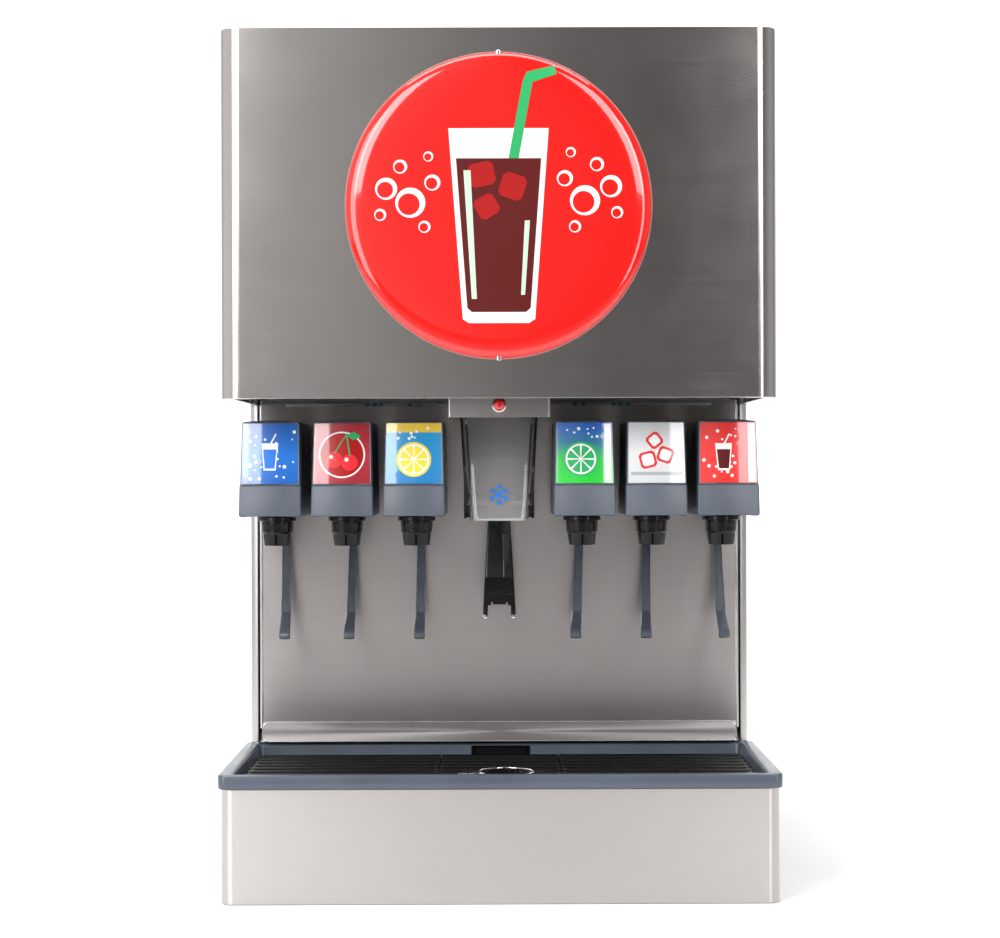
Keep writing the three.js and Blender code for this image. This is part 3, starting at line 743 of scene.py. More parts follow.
VALANCE_HALF = span("lamp_valance", 0)[1]
VALANCE_FRONT, VALANCE_REAR = span("lamp_valance", 1)
VALANCE_LOW, VALANCE_TOP = span("lamp_valance", 2)
valance_path = wrap_path(VALANCE_HALF, VALANCE_FRONT, VALANCE_REAR, 2.5, 8)
valance_wall = sweep("valance_wall", valance_path, sheet_profile(VALANCE_LOW, VALANCE_TOP, SHEET, 0.4))
hem_path = wrap_path(VALANCE_HALF - SHEET, VALANCE_FRONT + SHEET, VALANCE_REAR - 80, 1.5, 8)
valance_hem = sweep("valance_hem", hem_path, sheet_profile(VALANCE_LOW, VALANCE_LOW + 1.1, 6, 0.4))
valance = joined("lamp_housing", [valance_wall, valance_hem])
place(valance, "chassis", STEEL_SPLASH, "stainless", "lamp_valance")

LAMP_Z = middle("pilot_lamp", 2)


def lamp_lens():
    """A fluted lens with a rounded nose."""
    rings = []
    for out, radius in [(0.5, 5.4), (1.5, 5.8), (6.5, 5.7), (8.4, 5.1), (9.4, 3.9), (9.9, 2.0)]:
        ring = []
        for k in range(72):
            angle = 2 * math.pi * k / 72
            r = radius * (1 + 0.045 * math.cos(12 * angle))
            ring.append((r * math.cos(angle), VALANCE_FRONT - out, LAMP_Z + r * math.sin(angle)))
        rings.append(ring)
    return loft("lamp_lens", rings, sharp=60)


place(lamp_lens(), "chassis", LENS, "lamp_lens", "pilot_lamp")
bezel = [(5.9, 0.1), (7.3, 0.1), (7.2, 1.6), (6.3, 2.2), (5.9, 1.8), (5.9, 0.1)]
place(lathe("lamp_bezel", bezel, 48, "y", (0, VALANCE_FRONT, LAMP_Z)), "chassis", CHROME, "stainless")


def hood_strips():
    """Light strips with connectors, fixed to the upper panel left and right of the chute."""
    for side, label in ((-1, "left"), (1, "right")):
        near = 66 if side < 0 else 62
        far = 236
        x0, x1 = sorted((side * near, side * far))
        y = span("splash_upper", 1)[0]
        strip = block(f"light_strip_{label}", (x0, y - 7, 503.4), (x1, y - 0.2, 506.8), 0.8)
        place(strip, "chassis", LIGHT_STRIP, "white_plastic")
        parts = []
        for k, share in enumerate((0.13, 0.19, 0.38, 0.42, 0.47)):
            x = side * (near + (far - near) * share)
            parts.append(block(f"strip_clip_{label}_{k}", (x - 2.4, y - 7.4, 503.2), (x + 2.4, y - 0.3, 507.0), 0.4))
        place(joined(f"light_strip_clips_{label}", parts), "chassis", ART_TEAL, "white_plastic")


hood_strips()


def splash_edges():
    """Rounded bends down both sides of the splash panels, with a filler behind their top corners, in lighter steel that
    paints a highlight on them.
    """
    face_y = span("splash_upper", 1)[0]
    low = span("splash_lower", 2)[0] + 14
    for side, label in ((-1, "left"), (1, "right")):
        edge_x = side * (span("splash_upper", 0)[1] + 1.1)
        bend = tube(f"splash_bend_{label}", [(edge_x, face_y + 1.6, low), (edge_x, face_y + 1.6, 510)], 1.7, 20)
        filler_x = sorted((side * 257, side * 264.5))
        filler = block("filler", (filler_x[0], face_y + 1.6, 500), (filler_x[1], face_y + 3.0, 510.4), 0.3)
        place(joined(f"splash_bend_{label}", [bend, filler]), "chassis", STEEL_EDGE_HIGHLIGHT, "stainless")


splash_edges()


def splash_lip():
    """The forward lip of the lower panel: a band in darker steel, painted shade, with rounded ends inside a thin raised
    bead.
    """
    top = Vector((0, -137.7, 152.0))
    foot = Vector((0, -151.5, 131.3))
    down = (foot - top).normalized()
    out = Vector((0, down.z, -down.y))
    half = span("splash_lower", 0)[1] - 0.6
    outline = rounded_rect(-half, half, 0.6, (foot - top).length - 0.6, 8, 8)

    def on_lip(x, along, lift):
        return top + Vector((x, 0, 0)) + down * along + out * lift

    rings = [[tuple(on_lip(x, along, lift)) for x, along in outline] for lift in (0.1, 0.5)]
    band = loft("splash_lip", rings, sharp=40)
    place(band, "chassis", STEEL_LIP_SHADE, "stainless")
    edge = [tuple(on_lip(x, along, 0.5)) for x, along in outline]
    # The bead is in the lighter steel, a painted highlight along the lip's edge.
    place(tube("splash_lip_bead", edge, 0.55, 10, True), "chassis", STEEL_EDGE_HIGHLIGHT, "stainless")


splash_lip()


# ------------------------------------------------------------------ valve covers and labels
COVER_LOW, COVER_TOP = span("valve_cover_1", 2)
COVER_REAR = span("valve_cover_1", 1)[1]
SKIRT_FRONT = span("valve_cover_1", 1)[0]
LABEL_LOW = 418.6
LABEL_TOP = 482.3
FACE_LOW = SKIRT_FRONT + 7.4
FACE_TOP = SKIRT_FRONT + 17.0
BOW = 3.2


def cover_face_y(x, z):
    """Front surface of the cover's upper part."""
    t = (z - 417) / (COVER_TOP - 417)
    front = FACE_LOW - 1.8 + (FACE_TOP - FACE_LOW) * t
    return front - BOW * (1 - (x / 31) ** 2)


def cover_ring(half, front, bow, z, corner=2.2, arch=0.0, inset=0.0):
    """Open ring from the rear left, round the bowed front, to the rear right."""
    half = half - inset
    front = front + inset
    points = [(-half, COVER_REAR), (-half, -220)]
    points += arc(-half + corner, front + bow + corner, corner, 180, 262, 7)
    flat = half - corner
    steps = 14
    for i in range(steps + 1):
        x = -flat + 2 * flat * i / steps
        points.append((x, front + bow * (x / flat) ** 2))
    points += arc(half - corner, front + bow + corner, corner, 278, 360, 7)
    points += [(half, -220), (half, COVER_REAR)]
    return [(x, y, z - arch * (x / half) ** 2) for x, y in points]


def cover_shell(name):
    """The cover: a proud lower skirt, a sloping bowed face and a gently arched top, open below and behind."""
    top_half = 29.9
    low_half = 31.0
    outer_levels = [
        (31.6, SKIRT_FRONT + 0.5, COVER_LOW, 0), (32.0, SKIRT_FRONT, COVER_LOW + 0.8, 0),
        (31.6, SKIRT_FRONT + 2.2, 415.4, 0), (31.2, SKIRT_FRONT + 2.9, 416.6, 0),
        (low_half, FACE_LOW - 3.6, 417.2, 0), (low_half, FACE_LOW - 3.3, 418.4, 0),
        (top_half, FACE_TOP - 2.9, COVER_TOP - 2.2, 1.2), (top_half - 0.6, FACE_TOP - 2.2, COVER_TOP - 0.7, 1.4),
        (top_half - 2.0, FACE_TOP - 0.9, COVER_TOP, 1.5),
    ]
    outer = [cover_ring(half, front, BOW, z, 2.2, arch) for half, front, z, arch in outer_levels]
    inner_levels = [(32.0, SKIRT_FRONT, COVER_LOW + 0.05), (31.4, FACE_LOW - 2, 418), (29.9, FACE_TOP, COVER_TOP - 3.4)]
    inner = [cover_ring(half, front, BOW, z, 2.5, 1.2, 2.4) for half, front, z in inner_levels]
    count = len(outer[0])
    points = [p for ring in outer + inner for p in ring]
    faces = []

    def skin(first, rows):
        for r in range(rows - 1):
            for i in range(count - 1):
                a = (first + r) * count + i
                faces.append((a, a + 1, a + 1 + count, a + count))

    skin(0, len(outer))
    skin(len(outer), len(inner))
    top = (len(outer) - 1) * count
    inner_low = len(outer) * count
    inner_top = (len(outer) + len(inner) - 1) * count
    faces.append(tuple(top + i for i in range(count)))
    faces.append(tuple(inner_top + i for i in range(count)))
    for i in range(count - 1):
        faces.append((i, i + 1, inner_low + i + 1, inner_low + i))
    for end in (0, count - 1):
        edge = [r * count + end for r in range(len(outer))]
        back = [inner_low + r * count + end for r in range(len(inner))]
        faces.append(tuple(edge + back[::-1]))
    faces.append((top, top + count - 1, inner_top + count - 1, inner_top))
    return mesh_piece(name, points, faces, 32)


def label_outline(x0, x1, z0, z1, radius, arch=0.0):
    found = []
    for x, z in rounded_rect(x0, x1, z0, z1, radius, 5):
        share = (z - z0) / (z1 - z0)
        found.append((x * (1 - 0.033 * share), z - arch * share * (x / x1) ** 2))
    return found


def label_surface(x, z):
    return cover_face_y(x, z) - 0.1


def icon_slice(cx, cz, radius):
    """A citrus slice: rind, pith and eight segments, as three lists of outlines."""
    segments = []
    for k in range(8):
        start = 45 * k + 4
        segments.append([(cx + 1.1 * math.cos(math.radians(start + 18)), cz + 1.1 * math.sin(math.radians(start + 18)))]
                        + arc(cx, cz, radius * 0.78, start, start + 37, 5))
    return [circle(cx, cz, radius)], [circle(cx, cz, radius * 0.88)], segments


def icon_glass(cx, cz, size):
    """A small plain tumbler, its drink and a straw."""
    glass = [(cx - 0.62 * size, cz + size), (cx - 0.44 * size, cz - size), (cx + 0.44 * size, cz - size), (cx + 0.62 * size, cz + size)]
    drink = [(cx - 0.5 * size, cz + 0.55 * size), (cx - 0.36 * size, cz - 0.86 * size), (cx + 0.36 * size, cz - 0.86 * size), (cx + 0.5 * size, cz + 0.55 * size)]
    straw = [(cx + 0.02 * size, cz + size), (cx + 0.14 * size, cz + size), (cx + 0.5 * size, cz + 1.7 * size), (cx + 0.38 * size, cz + 1.7 * size)]
    return glass, drink, straw


def bubbles(cx, cz, width, height, count, seed, low=0.9, high=2.4):
    maker = random.Random(seed)
    found = []
    while len(found) < count:
        spot = (cx + width * (maker.random() - 0.5), cz + height * (maker.random() - 0.5), maker.uniform(low, high))
        if all(math.hypot(spot[0] - f[0], spot[1] - f[1]) > spot[2] + f[2] + 0.6 for f in found):
            found.append(spot)
    return [circle(x, z, r, 16) for x, z, r in found]


def rect(x0, x1, z0, z1):
    return [(x0, z0), (x1, z0), (x1, z1), (x0, z1)]


BLUE_CARD = [(0.0, (0.0, 0.11, 0.5)), (0.45, (0.0, 0.17, 0.64)), (1.0, (0.0, 0.1, 0.46))]
CRIMSON_CARD = [(0.0, (0.34, 0.0, 0.014)), (0.5, (0.46, 0.004, 0.024)), (1.0, (0.38, 0.0, 0.016))]
LEMON_CARD = [(0.0, (0.0, 0.2, 0.5)), (0.82, (0.0, 0.3, 0.62)), (0.84, (0.85, 0.56, 0.02)), (1.0, (0.88, 0.6, 0.03))]
LIME_CARD = [(0.0, (0.0, 0.6, 0.03)), (0.4, (0.0, 0.5, 0.04)), (0.66, (0.0, 0.16, 0.3)), (1.0, (0.0, 0.1, 0.6))]
SILVER_CARD = [(0.0, (0.62, 0.63, 0.65)), (0.5, (0.8, 0.8, 0.81)), (1.0, (0.58, 0.59, 0.62))]
RED_CARD = [(0.0, (0.82, 0.012, 0.008)), (0.6, (0.9, 0.018, 0.012)), (1.0, (0.84, 0.012, 0.008))]


def label_art(n):
    """Card colours and layers of one label, printed art and on labels 4 and 6 a white strip that is a painted
    highlight: (name, outlines, material, height).
    """
    mid = (LABEL_LOW + LABEL_TOP) / 2
    if n == 1:
        glass, drink, straw = icon_glass(0, mid - 4, 14)
        froth = bubbles(0, mid - 4, 50, 52, 26, 11, 0.8, 2.0)
        return BLUE_CARD, [("froth", froth, ART_WHITE, 0.2), ("glass", [glass, straw], ART_WHITE, 0.35), ("drink", [drink], ART_BLUE, 0.5)]
    if n == 2:
        fruit = [circle(-8, mid - 7, 8.5), circle(8, mid - 10, 8.5)]
        stalk = [[(-8, mid), (-6.6, mid), (5.5, mid + 19), (4, mid + 19)], [(7.6, mid - 3), (9, mid - 3), (5.6, mid + 19), (4, mid + 19)]]
        leaf = [[(5, mid + 18), (12, mid + 22), (20, mid + 17), (12, mid + 13)]]
        shine = [circle(-11, mid - 4, 2), circle(5, mid - 7, 2)]
        return CRIMSON_CARD, [("halo", [circle(0, mid - 2, 24, 40)], ART_WHITE, 0.2), ("field", [circle(0, mid - 2, 22.4, 40)], ART_DEEP, 0.35),
                              ("fruit", fruit, ART_RED, 0.5), ("leaf", stalk + leaf, ART_GREEN, 0.6), ("shine", shine, ART_WHITE, 0.75)]
    if n in (3, 4):
        cx = 0 if n == 3 else -4
        rind, pith, segments = icon_slice(cx, mid - 7, 18)
        flesh = ART_YELLOW if n == 3 else ART_GREEN
        layers = [("rind", rind, flesh, 0.25), ("pith", pith, ART_WHITE, 0.4), ("segments", segments, flesh, 0.55)]
        layers.append(("fizz", bubbles(cx, mid + 20, 34, 12, 8, 20 + n, 0.8, 1.8), ART_WHITE, 0.3))
        if n == 4:
            # Painted highlight: the white strip near the right edge stands for the sheen on the label's gloss film.
            layers.append(("strip", [rect(20.5, 27.2, LABEL_LOW + 1, LABEL_TOP - 2.4)], ART_WHITE, 0.25))
        return (LEMON_CARD if n == 3 else LIME_CARD), layers
    if n == 5:
        cubes = [quad(-9, mid - 8, 17, 17, 14), quad(9, mid - 3, 16, 16, -20), quad(-2, mid + 12, 15, 15, 38)]
        inner = [quad(-9, mid - 8, 12, 12, 14), quad(9, mid - 3, 11, 11, -20), quad(-2, mid + 12, 10, 10, 38)]
        band = [rect(-26.5, 26.5, mid - 24, mid - 20.5)]
        return SILVER_CARD, [("cubes", cubes, ART_RED, 0.25), ("centres", inner, ART_WHITE, 0.4), ("band", band, ART_GREY, 0.25)]
    glass, drink, straw = icon_glass(-5, mid - 5, 14)
    # Painted highlight: the white strip near the right edge stands for the sheen on the label's gloss film.
    return RED_CARD, [("froth", bubbles(-5, mid, 42, 50, 20, 6, 0.8, 1.9), ART_WHITE, 0.2), ("glass", [glass, straw], ART_WHITE, 0.35),
                      ("drink", [drink], ART_DRINK, 0.5), ("strip", [rect(20.5, 27.2, LABEL_LOW + 1, LABEL_TOP - 2.4)], ART_WHITE, 0.25)]


def shifted(obj, x):
    obj.data.transform(Matrix.Translation((x * MM, 0, 0)))
    return obj


def valve_front(n):
    x = VALVE_X[n]
    body = f"cover_{n}"
    place(shifted(cover_shell(f"valve_{n}_cover"), x), body, COVER, "cover_plastic", f"valve_cover_{n}")
    stops, layers = label_art(n)
    card = flat_patch(f"valve_{n}_card", label_outline(-29.3, 29.3, LABEL_LOW, LABEL_TOP, 1.0, 1.3), cover_face_y, 0.35, 8)
    place(shifted(card, x), body, printed(f"card_{n}", stops, LABEL_LOW * MM, LABEL_TOP * MM), "cover_plastic")
    for name, outlines, material, height in layers:
        parts = [flat_patch(f"valve_{n}_{name}_{i}", o, label_surface, height + 0.15, 6) for i, o in enumerate(outlines)]
        place(shifted(joined(f"valve_{n}_{name}", parts), x), body, material, "cover_plastic")
    border = []
    outline = label_outline(-29.8, 29.8, LABEL_LOW - 0.5, LABEL_TOP + 0.6, 1.4, 1.4)
    for px, pz in outline:
        border.append((px + x, cover_face_y(px, pz) - 0.25, pz))
    frame_bead = tube(f"valve_{n}_window_bead", border, 0.4, 8, closed=True)
    place(frame_bead, body, BEAD, "cover_plastic")


for n in VALVES:
    valve_front(n)


# ------------------------------------------------------------------ nozzles and levers
NOZZLE_Y = middle("nozzle_1", 1)
NOZZLE_LOW, NOZZLE_TOP = span("nozzle_1", 2)


def nozzle(name, x):
    """A flanged nozzle with six narrow slots up its tapered skirt, hollow inside."""
    sides = 96
    slot_depth = 1.9
    low, high = NOZZLE_LOW, NOZZLE_TOP
    levels = [
        (13.3, low, True), (13.9, low + 0.5, True), (15.3, low + 11.5, True), (15.4, low + 12, False),
        (15.7, low + 13.6, False), (16.5, low + 14.6, False), (16.8, low + 21, False), (17.1, high - 8.6, False),
        (17.1, high - 5.6, False), (19.2, high - 5.1, False), (19.9, high - 4.5, False), (19.9, high - 0.8, False),
        (19.2, high, False), (12.0, high, False), (12.0, low + 14, False), (10.6, low + 1, False), (11.0, low, False),
    ]
    rings = []
    for radius, z, slotted in levels:
        ring = []
        for k in range(sides):
            angle = 2 * math.pi * k / sides
            r = radius - (slot_depth if slotted and k % 16 == 8 else 0)
            ring.append((x + r * math.cos(angle), NOZZLE_Y + r * math.sin(angle), z))
        rings.append(ring)
    rings.append(rings[0])
    return loft(name, rings, (False, False), 32)


def bent_line(points, reach=2.2, steps=4):
    """Straight runs through points (half width, y, z, lean) joined by short bends."""
    line = [Vector(p) for p in points]
    found = [line[0]]
    for before, here, after in zip(line, line[1:], line[2:]):
        run_in = min(0.45, reach / (here - before).length)
        run_out = min(0.45, reach / (after - here).length)
        a = here.lerp(before, run_in)
        b = here.lerp(after, run_out)
        for k in range(steps + 1):
            t = k / steps
            found.append(a.lerp(here, t).lerp(here.lerp(b, t), t))
    found.append(line[-1])
    return found


def blade(name, stations, centre_x, thickness, edge=0.9):
    """A bent flat lever; stations are (half width, y, z, lean to the right) of its rear face."""
    line = bent_line(stations)
    rings = []
    for i, (half, y, z, lean) in enumerate(line):
        x = centre_x + lean
        before = line[max(0, i - 1)]
        after = line[min(len(line) - 1, i + 1)]
        run = Vector((after[1] - before[1], after[2] - before[2])).normalized()
        front = Vector((run[1], -run[0]))
        corners = [
            (-half + edge, 0), (half - edge, 0), (half, edge), (half, thickness - edge),
            (half - edge, thickness), (-half + edge, thickness), (-half, thickness - edge), (-half, edge),
        ]
        rings.append([(x + px, y + front[0] * d, z + front[1] * d) for px, d in corners])
    for end, other in ((0, 1), (-1, -2)):
        centre = sum((Vector(p) for p in rings[end]), Vector()) / 8
        shrunk = [tuple(centre + (Vector(p) - centre) * 0.8) for p in rings[end]]
        away = (centre - sum((Vector(p) for p in rings[other]), Vector()) / 8).normalized() * 0.6
        shrunk = [tuple(Vector(p) + away) for p in shrunk]
        if end == 0:
            rings.insert(0, shrunk)
        else:
            rings.append(shrunk)
    return loft(name, rings, sharp=40)


PIVOT = {j["name"]: Vector(j["pos_m"]) / MM for j in frame["joints"] if "pos_m" in j}


# Sideways play of each lever, to the right: at the nozzle's lower edge and at the tip.
LEAN = {1: (1.5, 5.0), 2: (1.2, 0.3), 3: (2.2, 1.8), 4: (0.2, -6.0), 5: (0.5, -4.2), 6: (5.0, 5.8)}


def valve_lever(n):
    x = VALVE_X[n]
    pivot = PIVOT[f"lever_{n}_push"]
    high, low = LEAN[n]
    bend = high + (low - high) * 0.55
    stations = [
        (4.0, pivot.y + 3, pivot.z - 1, 0), (4.0, pivot.y + 13, 374, high * 0.6),
        (3.95, pivot.y + 13.6, 350, high), (4.6, pivot.y + 6, 314, (high + bend) / 2),
        (5.2, pivot.y - 8.5, 274, bend), (5.8, pivot.y - 41, 256.4, low), (5.9, pivot.y - 43.6, 250.4, low),
    ]
    arm = blade(f"valve_{n}_lever_arm", stations, x, 4.2, 0.8)
    ridges = []
    for side in (-1, 1):
        line = [
            (0.55, pivot.y + 13.3, 347, high + side * 3.5), (0.55, pivot.y + 6, 314, (high + bend) / 2 + side * 4.1),
            (0.55, pivot.y - 7.5, 277, bend + side * 4.7),
        ]
        ridges.append(blade("ridge", line, x, 5.0, 0.4))
    at = (x, pivot.y, pivot.z)
    boss = lathe("boss", [(0, -6), (5.2, -6), (6.2, -5), (6.2, 5), (5.2, 6), (0, 6)], 32, "x", at)
    pin = lathe("pin", [(0, -20), (2.6, -20), (3, -19.6), (3, 19.6), (2.6, 20), (0, 20)], 24, "x", at)
    lever = joined(f"valve_{n}_lever", [arm, *ridges, boss, pin])
    place(lever, f"lever_{n}", LEVER, "lever_plastic", f"valve_lever_{n}")


for n in VALVES:
    place(nozzle(f"valve_{n}_nozzle", VALVE_X[n]), f"nozzle_{n}", NOZZLE, "black_plastic", f"nozzle_{n}")
    valve_lever(n)


def crowned_face(name, stations):
    """A plate with its right-hand third turned away, so that it carries one long highlight."""
    fold = 0.3
    slope = 0.26
    rings = []
    for half, y, z in stations:
        ring = [(-half, y + 2.2, z), (half, y + 2.2, z)]
        for k in range(21):
            share = 1 - 2 * k / 20
            away = slope * half * max(0, share - fold)
            left = 0.6 * max(0, -share - 0.9)
            ring.append((half * share, y - 1.2 + away + left * half * 0.3, z))
        rings.append(ring)
    return loft(name, rings, sharp=50)


def ice_lever():
    pivot = PIVOT["ice_lever_push"]
    stations = [
        (11.5, pivot.y + 2, pivot.z - 2, 0), (12.0, pivot.y + 2, 376, 0), (14.0, pivot.y - 6, 345, 0),
        (16.0, pivot.y - 18, 311, 0), (17.6, pivot.y - 51, 279, 0), (17.8, pivot.y - 55, 272.5, 0),
    ]
    plate = blade("ice_lever_plate", stations, 0, 4.8, 1.2)
    notch_outline = [
        (-12.4, 258), (12.4, 258), (12.4, 286), (9.0, 286), (9.0, 289.2), (7.2, 289.2), (7.2, 286.8),
        (-7.2, 286.8), (-7.2, 289.2), (-9.0, 289.2), (-9.0, 286), (-12.4, 286),
    ]
    points = []
    for y in (-245, -175):
        points += [(x, y, z) for x, z in notch_outline]
    count = len(notch_outline)
    faces = [tuple(range(count)), tuple(range(2 * count - 1, count - 1, -1))]
    faces += [(i, (i + 1) % count, count + (i + 1) % count, count + i) for i in range(count)]
    carve(plate, mesh_piece("notch", points, faces))
    face = [
        (11.0, pivot.y - 2.9, 388), (11.6, pivot.y - 4.0, 375),
        (13.4, pivot.y - 11.6, 345), (15.2, pivot.y - 22.0, 315),
    ]
    rib = crowned_face("ice_lever_face", face)
    pin = lathe("pin", [(0, -37.6), (3.2, -37.6), (3.7, -37), (3.7, 37), (3.2, 37.6), (0, 37.6)], 28, "x", (0, pivot.y, pivot.z))
    boss = lathe("boss", [(0, -13), (5.8, -13), (6.8, -12), (6.8, 12), (5.8, 13), (0, 13)], 32, "x", (0, pivot.y, pivot.z))
    place(joined("ice_push_lever", [plate, rib, pin, boss]), "ice_lever", GLOSS_BLACK, "black_plastic", "ice_lever")
    studs = []
    stud = [(0, -3.4), (2.0, -2.8), (2.7, -1.2), (2.7, 0.8), (2.0, 2.4), (0, 2.8)]
    for side in (-1, 1):
        studs.append(lathe("stud", stud, 24, "y", (side * 15.0, pivot.y - 57.5, 274.6)))
    place(joined("ice_lever_studs", studs), "ice_lever", CHROME, "stainless")


ice_lever()


# ------------------------------------------------------------------ ice chute
CHUTE_TOP = span("ice_chute", 2)[1]
CHUTE_LOW = span("ice_chute", 2)[0]
CHUTE_LEVELS = [
    (31.0, 23.5, -254.0, -200.0, CHUTE_LOW), (31.2, 24.2, -253.6, -199.6, CHUTE_LOW + 0.8),
    (32.0, 25.2, -250.0, -196.0, 396.0), (35.8, 28.5, -238.0, -171.0, 448.0),
    (40.5, 32.0, -224.0, -142.0, 508.0), (42.0, 34.0, -214.0, -107.0, 530.0),
    (42.0, 34.0, -200.0, -107.0, CHUTE_TOP),
]


def chute_ring(side, pane, front, rear, z, inset=0.0):
    outline = [
        (-side + inset, rear - inset), (-side + inset, front + 18), (-side + inset + 1.2, front + 14),
        (-pane - 2, front + inset + 0.8), (-pane + 2, front + inset), (0, front + inset - 0.8), (pane - 2, front + inset), (pane + 2, front + inset + 0.8),
        (side - inset - 1.2, front + 14), (side - inset, front + 18), (side - inset, rear - inset),
    ]
    return at_height(outline, z)


def ribbon(name, material, start, end, first=0, last=5, thickness=0.5):
    """A strip running up the chute's right and left corner faces, between two shares of their width."""
    strips = []
    for side in (-1, 1):
        rings = []
        for half, pane, front, _, z in CHUTE_LEVELS[first:last]:
            a = Vector((pane + 2, front + 0.8))
            b = Vector((half - 1.2, front + 14))
            inner = a.lerp(b, start)
            outer = a.lerp(b, end)
            out = Vector((b.y - a.y, a.x - b.x)).normalized() * thickness
            corners = [inner, outer, outer + out, inner + out]
            rings.append([(side * p.x, p.y, z) for p in corners])
        strips.append(loft(name, rings, sharp=30))
    place(joined(name, strips), "chassis", material, "clear_plastic")


def chute_edges():
    """Painted highlight strips and a painted shade strip up the corners for the refraction that shows there in clear
    plastic, dark side rails and a rolled lower rim in the lighter plastic of the painted highlights.
    """
    ribbon("chute_corner_painted_highlight", ACRYLIC_HIGHLIGHT, 0.12, 0.34)
    ribbon("chute_corner_painted_highlight_line", ACRYLIC_HIGHLIGHT, 0.62, 0.8)
    ribbon("chute_corner_painted_shade", ACRYLIC_DARK, 0.36, 0.6)
    rails = []
    for side in (-1, 1):
        rings = []
        for half, _, front, rear, z in CHUTE_LEVELS[2:5]:
            x0 = half + 0.5
            x1 = half + 4.6 - (z - 396) * 0.018
            plan = [(x0, front + 22), (x1, front + 22), (x1, rear - 4), (x0, rear - 4)]
            rings.append([(side * x, y, z) for x, y in plan])
        rails.append(loft("chute_rail", rings, sharp=30))
    place(joined("chute_side_rails", rails), "chassis", ACRYLIC_DARK, "clear_plastic")
    level = CHUTE_LEVELS[0]
    rim_levels = [(0.4, -0.6), (-0.5, 0.0), (-0.5, 1.4), (0.4, 2.0), (1.4, 1.4), (1.4, 0.0), (0.4, -0.6)]
    rings = [chute_ring(*level[:4], level[4] + up, inset) for inset, up in rim_levels]
    # The lower rim is in the lighter plastic, a painted highlight along its edge.
    place(loft("chute_lower_rim", rings, (False, False), 60), "chassis", ACRYLIC_HIGHLIGHT, "clear_plastic")


def ice_chute():
    """A clear tapering chute, open at both ends and behind at the top, with a rolled lower edge."""
    outer = [chute_ring(*level) for level in CHUTE_LEVELS]
    inner = [chute_ring(*level, inset=2.3) for level in CHUTE_LEVELS]
    rings = outer + inner[::-1] + [outer[0]]
    shell_piece = loft("chute_wall", rings, (False, False), 30)
    mouth = block("mouth", (-36, -122, 560), (36, -100, CHUTE_TOP + 3), 0.5)
    carve(shell_piece, mouth)
    place(shell_piece, "chassis", ACRYLIC, "clear_plastic", "ice_chute")

    def front_at(z):
        low, high = CHUTE_LEVELS[2], CHUTE_LEVELS[4]
        return low[2] + (high[2] - low[2]) * (z - low[4]) / (high[4] - low[4])

    def pane_y(x, z):
        return front_at(z) - 0.85 - 0.1

    chute_edges()
    bars = []
    centre = 406
    for k in range(3):
        angle = math.radians(60 * k + 30)
        for side in (1, -1):
            tip = Vector((math.cos(angle), math.sin(angle))) * 11 * side
            across = Vector((-tip.y, tip.x)).normalized() * 0.8
            bars.append([(-across.x, centre - across.y), (tip.x - across.x, centre + tip.y - across.y),
                         (tip.x + across.x, centre + tip.y + across.y), (across.x, centre + across.y)])
            for turn in (50, -50):
                root = tip * 0.62
                branch = Vector((math.cos(angle + math.radians(turn)), math.sin(angle + math.radians(turn)))) * 4 * side
                wide = Vector((-branch.y, branch.x)).normalized() * 0.65
                bars.append([(root.x - wide.x, centre + root.y - wide.y), (root.x + branch.x - wide.x, centre + root.y + branch.y - wide.y),
                             (root.x + branch.x + wide.x, centre + root.y + branch.y + wide.y), (root.x + wide.x, centre + root.y + wide.y)])
    parts = [flat_patch(f"chute_mark_{i}", o, pane_y, 0.2, 2) for i, o in enumerate(bars)]
    place(joined("chute_ice_mark", parts), "chassis", ART_SKY, "clear_plastic")


ice_chute()


